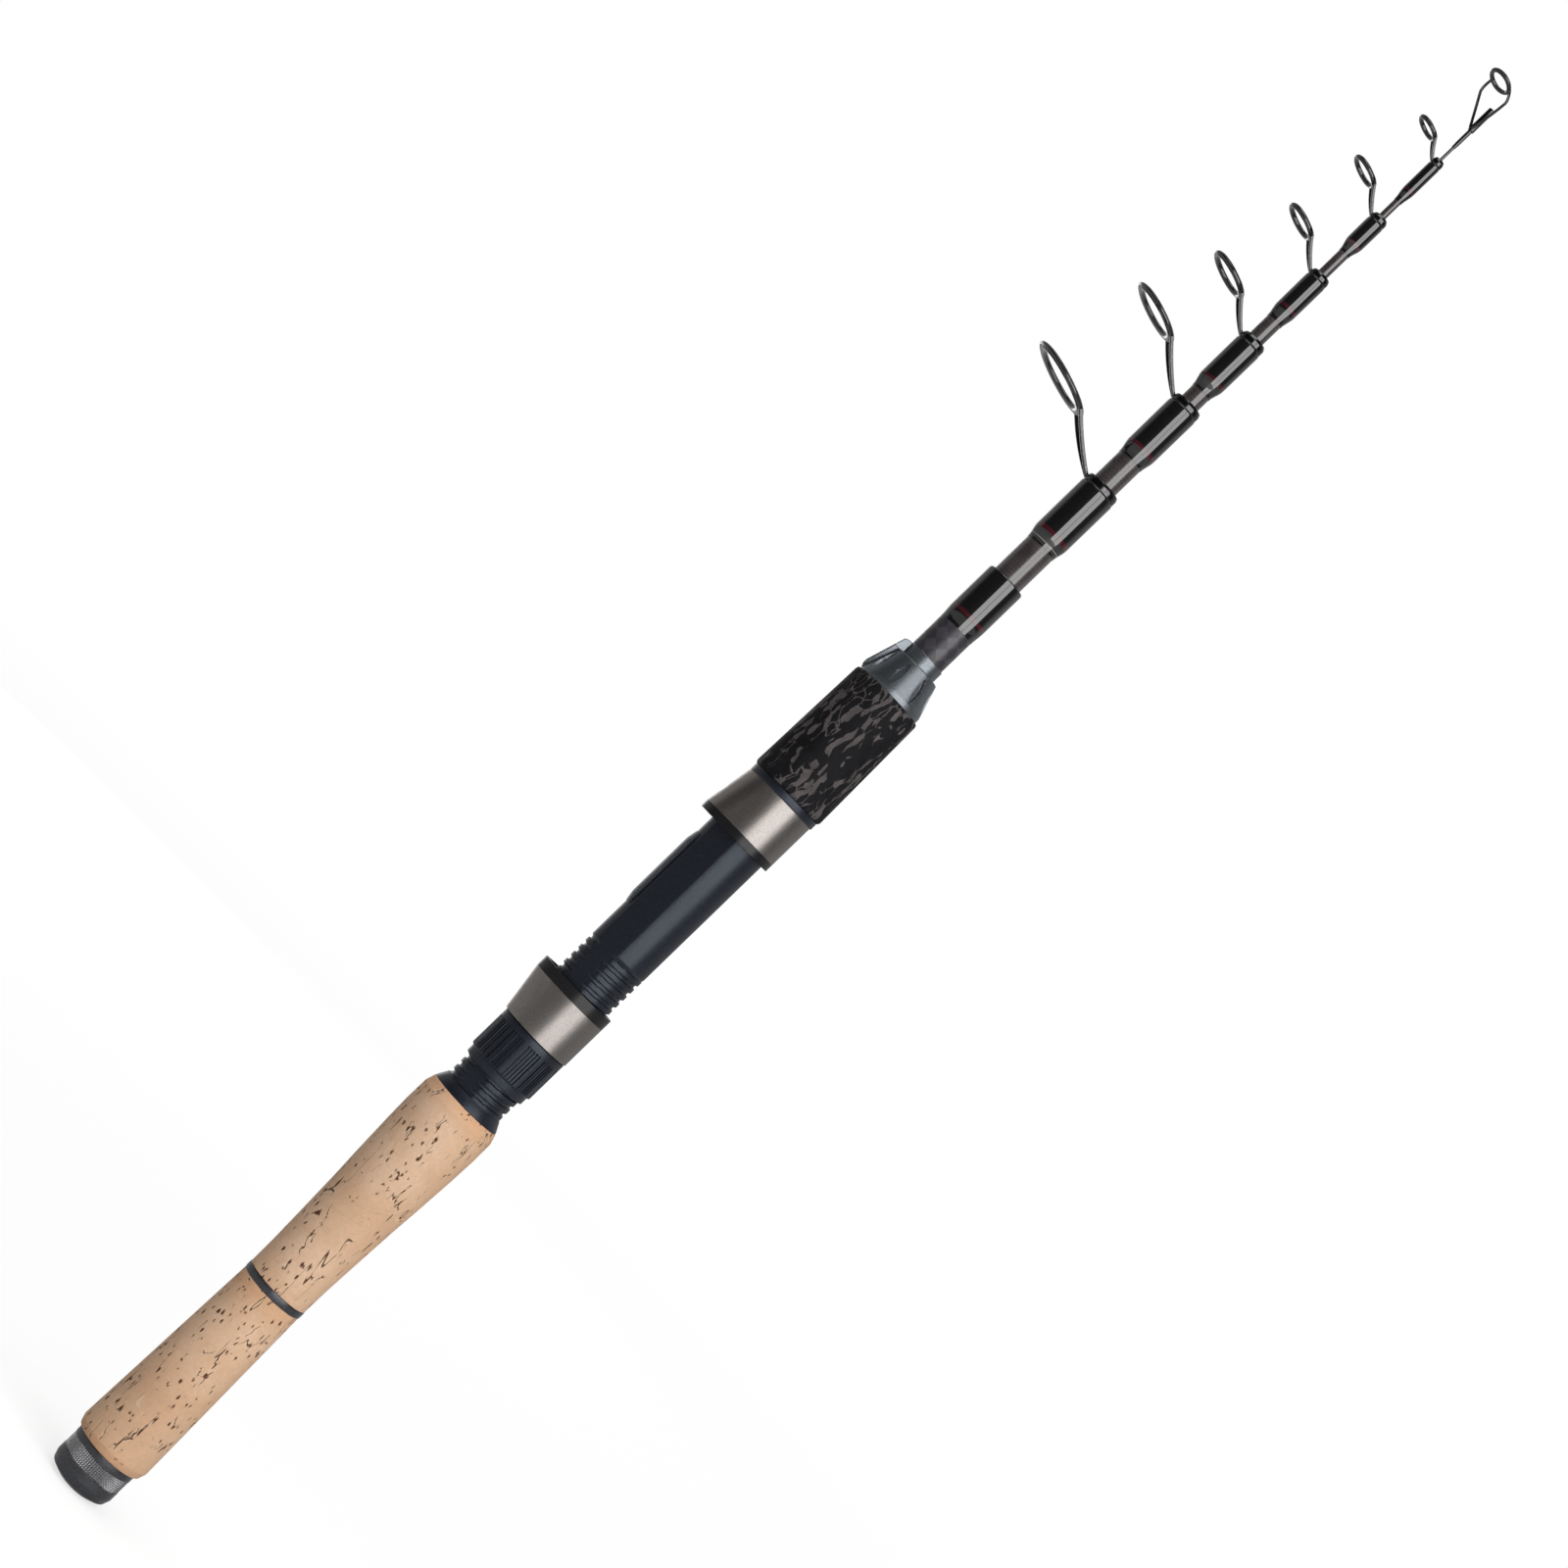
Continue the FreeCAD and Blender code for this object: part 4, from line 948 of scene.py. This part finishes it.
def swept(path, width, thick, wide_way, corners=12):
    """Rounded strip along a path of points. wide_way gives the wide direction at each."""
    points = []
    for place, here in enumerate(path):
        before = path[max(place - 1, 0)]
        after = path[min(place + 1, len(path) - 1)]
        along = (after - before).normalized()
        wide = wide_way[place] - along * wide_way[place].dot(along)
        wide.normalize()
        side = along.cross(wide)
        for step in range(corners):
            angle = tau * step / corners
            across = copysign(abs(cos(angle)) ** 0.6, cos(angle))
            through = copysign(abs(sin(angle)) ** 0.6, sin(angle))
            points.append(here + wide * (across * width / 2) + side * (through * thick / 2))
    faces = ring_faces(len(path), corners, closed=False)
    last = (len(path) - 1) * corners
    faces.append(tuple(reversed(range(corners))))
    faces.append(tuple(range(last, last + corners)))
    return points, faces


def bent_path(start, pull, finish, steps=14):
    """Points on a curve from start to finish that bows towards pull."""
    path = []
    for step in range(steps + 1):
        share = step / steps
        rest = 1 - share
        path.append(start * rest * rest + pull * (2 * share * rest) + finish * share * share)
    return path


def add_mesh(points, faces, more_points, more_faces):
    offset = len(points)
    points.extend(more_points)
    faces.extend([tuple(index + offset for index in face) for face in more_faces])


def lean_to_ring(profile, centre, around=72):
    """A profile turned round the leaning axis of a guide ring."""
    return [LEAN @ Vector(point) + centre for point in turned_points(profile, around)]


def seat_radius(bore, outer):
    """Where the polished ring meets its metal seat."""
    return bore + SEAT_SHARE * (outer - bore)


def leg_end(centre, hold, spread, side):
    """Where a leg meets its ring."""
    return centre + LEAN @ Vector((hold * cos(spread), side * hold * sin(spread), 0.0))


def seat_profile(outer, seat, thick):
    """Section of the metal seat that holds the ring: a slim strip with a rounded back."""
    half = thick / 2
    shoulder = seat + (outer - seat) * 0.45
    return rounded([
        (seat, -half * 0.9), (shoulder, -half * 0.9, 0.12), (outer, -half * 0.25, 0.15),
        (outer, half * 0.25, 0.15), (shoulder, half * 0.9, 0.12), (seat, half * 0.9)], steps=3)


def insert_profile(bore, seat, thick):
    """Section of the polished ring: a full oval towards the line, flat in its seat."""
    half = thick / 2 + SEAT_LIP
    back = seat - GLUE_GAP
    wall = back - bore
    points = []
    steps = 14
    for step in range(steps + 1):
        angle = pi * step / steps
        points.append((back - wall * sin(angle) ** 0.8, -half * cos(angle)))
    return points


def make_guide_ring(name, node, body, centre, size, roll=None):
    outer, bore, thick = size
    seat = seat_radius(bore, outer)
    profile = insert_profile(bore, seat, thick)
    points = lean_to_ring(profile, centre, 96)
    if roll:
        points = [roll @ point for point in points]
    faces = ring_faces(len(profile), 96)
    piece = make_piece(name, points, faces, body, MATERIALS["ring"], 60.0)
    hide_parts(node)


def make_guides():
    """Line guides: a foot bound on the tube, two slim curved legs and a ring in its seat."""
    for index, guide in enumerate(GUIDES, start=1):
        height, ahead, outer, bore, thick, foot, wide, thin = guide
        front, blank, radius, _ = TUBES[index]
        body = section_body(index + 1)
        centre = Vector((-height, 0.0, front + ahead))
        seat = seat_radius(bore, outer)
        points, faces = [], []
        profile = seat_profile(outer, seat, thick)
        add_mesh(points, faces, lean_to_ring(profile, centre), ring_faces(len(profile), 72))
        profile = rounded([
            (blank + GLUE_GAP, front - foot), (radius * 0.97, front - foot, 0.2),
            (radius * 0.97, front - 0.9, 0.4), (blank + (radius - blank) * 0.45, front, 0.2),
            (blank + GLUE_GAP, front)])
        add_mesh(points, faces, turned_points(profile, 64), ring_faces(len(profile), 64))
        for side in (1.0, -1.0):
            hold = (seat + outer) / 2
            finish = leg_end(centre, hold, LEG_SPREAD, side)
            start = Vector((-radius * 0.9, side * (0.05 + thin / 2), front - foot + wide * 0.6))
            middle = (start + finish) / 2
            pull = middle + Vector((-0.02, side * 0.04, -0.03)) * height
            path = bent_path(start, pull, finish)
            along = (finish - start).normalized()
            flat_way = Vector((0.0, side, 0.0)).cross(along)
            more = swept(path, wide, thin, [flat_way] * len(path))
            add_mesh(points, faces, *more)
        piece = make_piece(f"guide_{index}_frame_steel", points, faces, body,
                           MATERIALS["frame"], 40.0)
        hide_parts(f"guide_{index}_frame")
        make_guide_ring(f"guide_{index}_insert", f"guide_{index}_ring", body, centre,
                        (outer, bore, thick))


def make_tip_top():
    """Ring at the tip on a slim tube, held by two pear-shaped wire legs."""
    height, ahead, outer, bore, thick = TIP_RING
    centre = Vector((-height, 0.0, TIP_BASE + ahead))
    roll = Matrix.Rotation(TIP_ROLL, 3, "Z")
    seat = seat_radius(bore, outer)
    points, faces = [], []
    profile = seat_profile(outer, seat, thick)
    add_mesh(points, faces, lean_to_ring(profile, centre), ring_faces(len(profile), 72))
    blank = TUBES[-1][1]
    tube = blank + GLUE_GAP + 0.45
    low = TIP_BASE - TIP_FOOT
    profile = rounded([
        (blank + GLUE_GAP, low), (tube, low, 0.12), (tube, TIP_BASE, 0.2), (0.02, TIP_BASE),
        (0.02, TIP_BASE - 0.5), (blank + GLUE_GAP, TIP_BASE - 0.5)])
    add_mesh(points, faces, turned_points(profile, 40), ring_faces(len(profile), 40))
    for side in (1.0, -1.0):
        start = Vector((-tube * 0.8, side * 0.35, low + 0.6))
        knee = Vector((-3.35, side * 5.0, TIP_BASE + 1.6))
        hold = (seat + outer) / 2
        finish = leg_end(centre, hold, TIP_LEG_SPREAD, side)
        first = bent_path(start, (start + knee) / 2 + Vector((0.2, side * 0.3, 0.3)), knee, 10)
        second = bent_path(knee, knee + Vector((-0.3, side * 0.5, 1.4)), finish, 10)
        path = first + second[1:]
        more = swept(path, 0.85, 0.6, [Vector((1.0, 0.0, 0.4))] * len(path))
        add_mesh(points, faces, *more)
    points = [roll @ Vector(point) for point in points]
    piece = make_piece("tip_top_frame_steel", points, faces, "tip_section",
                       MATERIALS["frame"], 40.0)
    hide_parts("tip_top_frame")
    make_guide_ring("tip_top_insert", "tip_top_ring", "tip_section", centre,
                    (outer, bore, thick), roll)


def finish_cad_nodes():
    """Finishes for the solids that are shown as they are."""
    finishes = {
        "butt_buffer": "rubber", "butt_sleeve": "black_plastic", "butt_o_ring": "rubber",
        "rear_arbor": "black_plastic", "front_arbor": "black_plastic",
        "reel_foot_pad": "black_plastic", "moving_hood": "hood", "fixed_hood": "hood",
        "moving_hood_liner": "lip", "fixed_hood_liner": "lip",
    }
    for name, finish in finishes.items():
        finish_node(name, finish)


# Stage, lights and camera


def make_floor():
    reach = 14.0
    mesh = bpy.data.meshes.new("pale_floor")
    corners = [(-reach, -reach, 0.0), (reach, -reach, 0.0), (reach, reach, 0.0),
               (-reach, reach, 0.0)]
    mesh.from_pydata(corners, [], [(0, 1, 2, 3)])
    mesh.materials.append(floor_material())
    floor_plane = bpy.data.objects.new("pale_floor", mesh)
    bpy.context.scene.collection.objects.link(floor_plane)


def make_world():
    world = bpy.data.worlds.new("white_studio")
    bpy.context.scene.world = world
    world.use_nodes = True
    graph = Graph(world.node_tree)
    background = next(node for node in world.node_tree.nodes if node.type == "BACKGROUND")
    rays = graph.node("ShaderNodeLightPath").outputs
    place = graph.node("ShaderNodeTexCoord").outputs["Generated"]
    depth = graph.node("ShaderNodeSeparateXYZ", {0: place}).outputs[1]
    backdrop = graph.range(depth, -0.1, 0.35, 0.03, 0.4)
    mirrored = graph.math("MAXIMUM", rays["Is Glossy Ray"], rays["Is Transmission Ray"])
    mirrored = graph.math("MULTIPLY", mirrored, backdrop)
    seen = graph.math("MAXIMUM", rays["Is Camera Ray"], mirrored)
    plain = graph.math("MULTIPLY", rays["Is Diffuse Ray"], 0.38)
    strength = graph.math("MAXIMUM", seen, plain)
    background.inputs["Color"].default_value = paint(1.0)
    world.node_tree.links.new(strength, background.inputs["Strength"])


def aim(thing, place, target):
    thing.location = place
    way = Vector(target) - Vector(place)
    thing.rotation_euler = way.to_track_quat("-Z", "Y").to_euler()


def softbox(name, place, target, width, height, power):
    lamp = bpy.data.lights.new(name, "AREA")
    lamp.shape = "RECTANGLE"
    lamp.size = width
    lamp.size_y = height
    lamp.energy = power
    thing = bpy.data.objects.new(name, lamp)
    bpy.context.scene.collection.objects.link(thing)
    aim(thing, place, target)
    return thing


def make_lights():
    middle = (0.0, 0.0, 0.28)
    reach = 1.3
    for name, angle in (("key_strip_inner", 16.0), ("key_strip_outer", 44.0)):
        turn = radians(angle)
        place = (reach * sin(turn), -reach * cos(turn), middle[2])
        softbox(name, place, middle, 0.60, 2.6, 14.5)
    softbox("back_strip", (-0.5, 1.2, 0.28), middle, 0.4, 1.8, 3.0)
    softbox("top_fill", (-0.3, -0.3, 1.9), middle, 1.0, 1.0, 6.0)


def make_camera():
    """Level camera square to the rod a little below its middle, rolled so that the rod leans.
    The shift moves the frame along the rod to the object's middle."""
    tilt = radians(44.09)
    distance = 0.944
    frame_width = 0.4315
    slide = 0.073
    back = Vector((0.0, -1.0, 0.0))
    along = Vector((0.0, 0.0, 1.0))
    across = Vector((1.0, 0.0, 0.0))
    right = along * cos(tilt) + across * sin(tilt)
    up = along * sin(tilt) - across * cos(tilt)
    target = Vector((-0.0024, 0.0, 0.2427))
    turn = Matrix((right, up, back)).transposed()
    lens = bpy.data.cameras.new("photo_camera")
    lens.sensor_width = 36.0
    lens.lens = lens.sensor_width * distance / frame_width
    lens.shift_x = slide * cos(tilt)
    lens.shift_y = slide * sin(tilt)
    lens.clip_end = 100.0
    camera = bpy.data.objects.new("photo_camera", lens)
    camera.matrix_world = Matrix.Translation(target + back * distance) @ turn.to_4x4()
    bpy.context.scene.collection.objects.link(camera)
    bpy.context.scene.camera = camera


make_camera()
make_floor()
make_world()
make_lights()
make_butt_cap()
make_butt_pad()
make_rear_grip()
make_check_ring()
make_front_grip()
make_grip_collars()
make_barrel()
make_lock_nut()
make_foregrip()
make_winding_check()
make_blanks()
make_bindings()
make_guides()
make_tip_top()
finish_cad_nodes()

bpy.context.scene.view_settings.view_transform = "Standard"
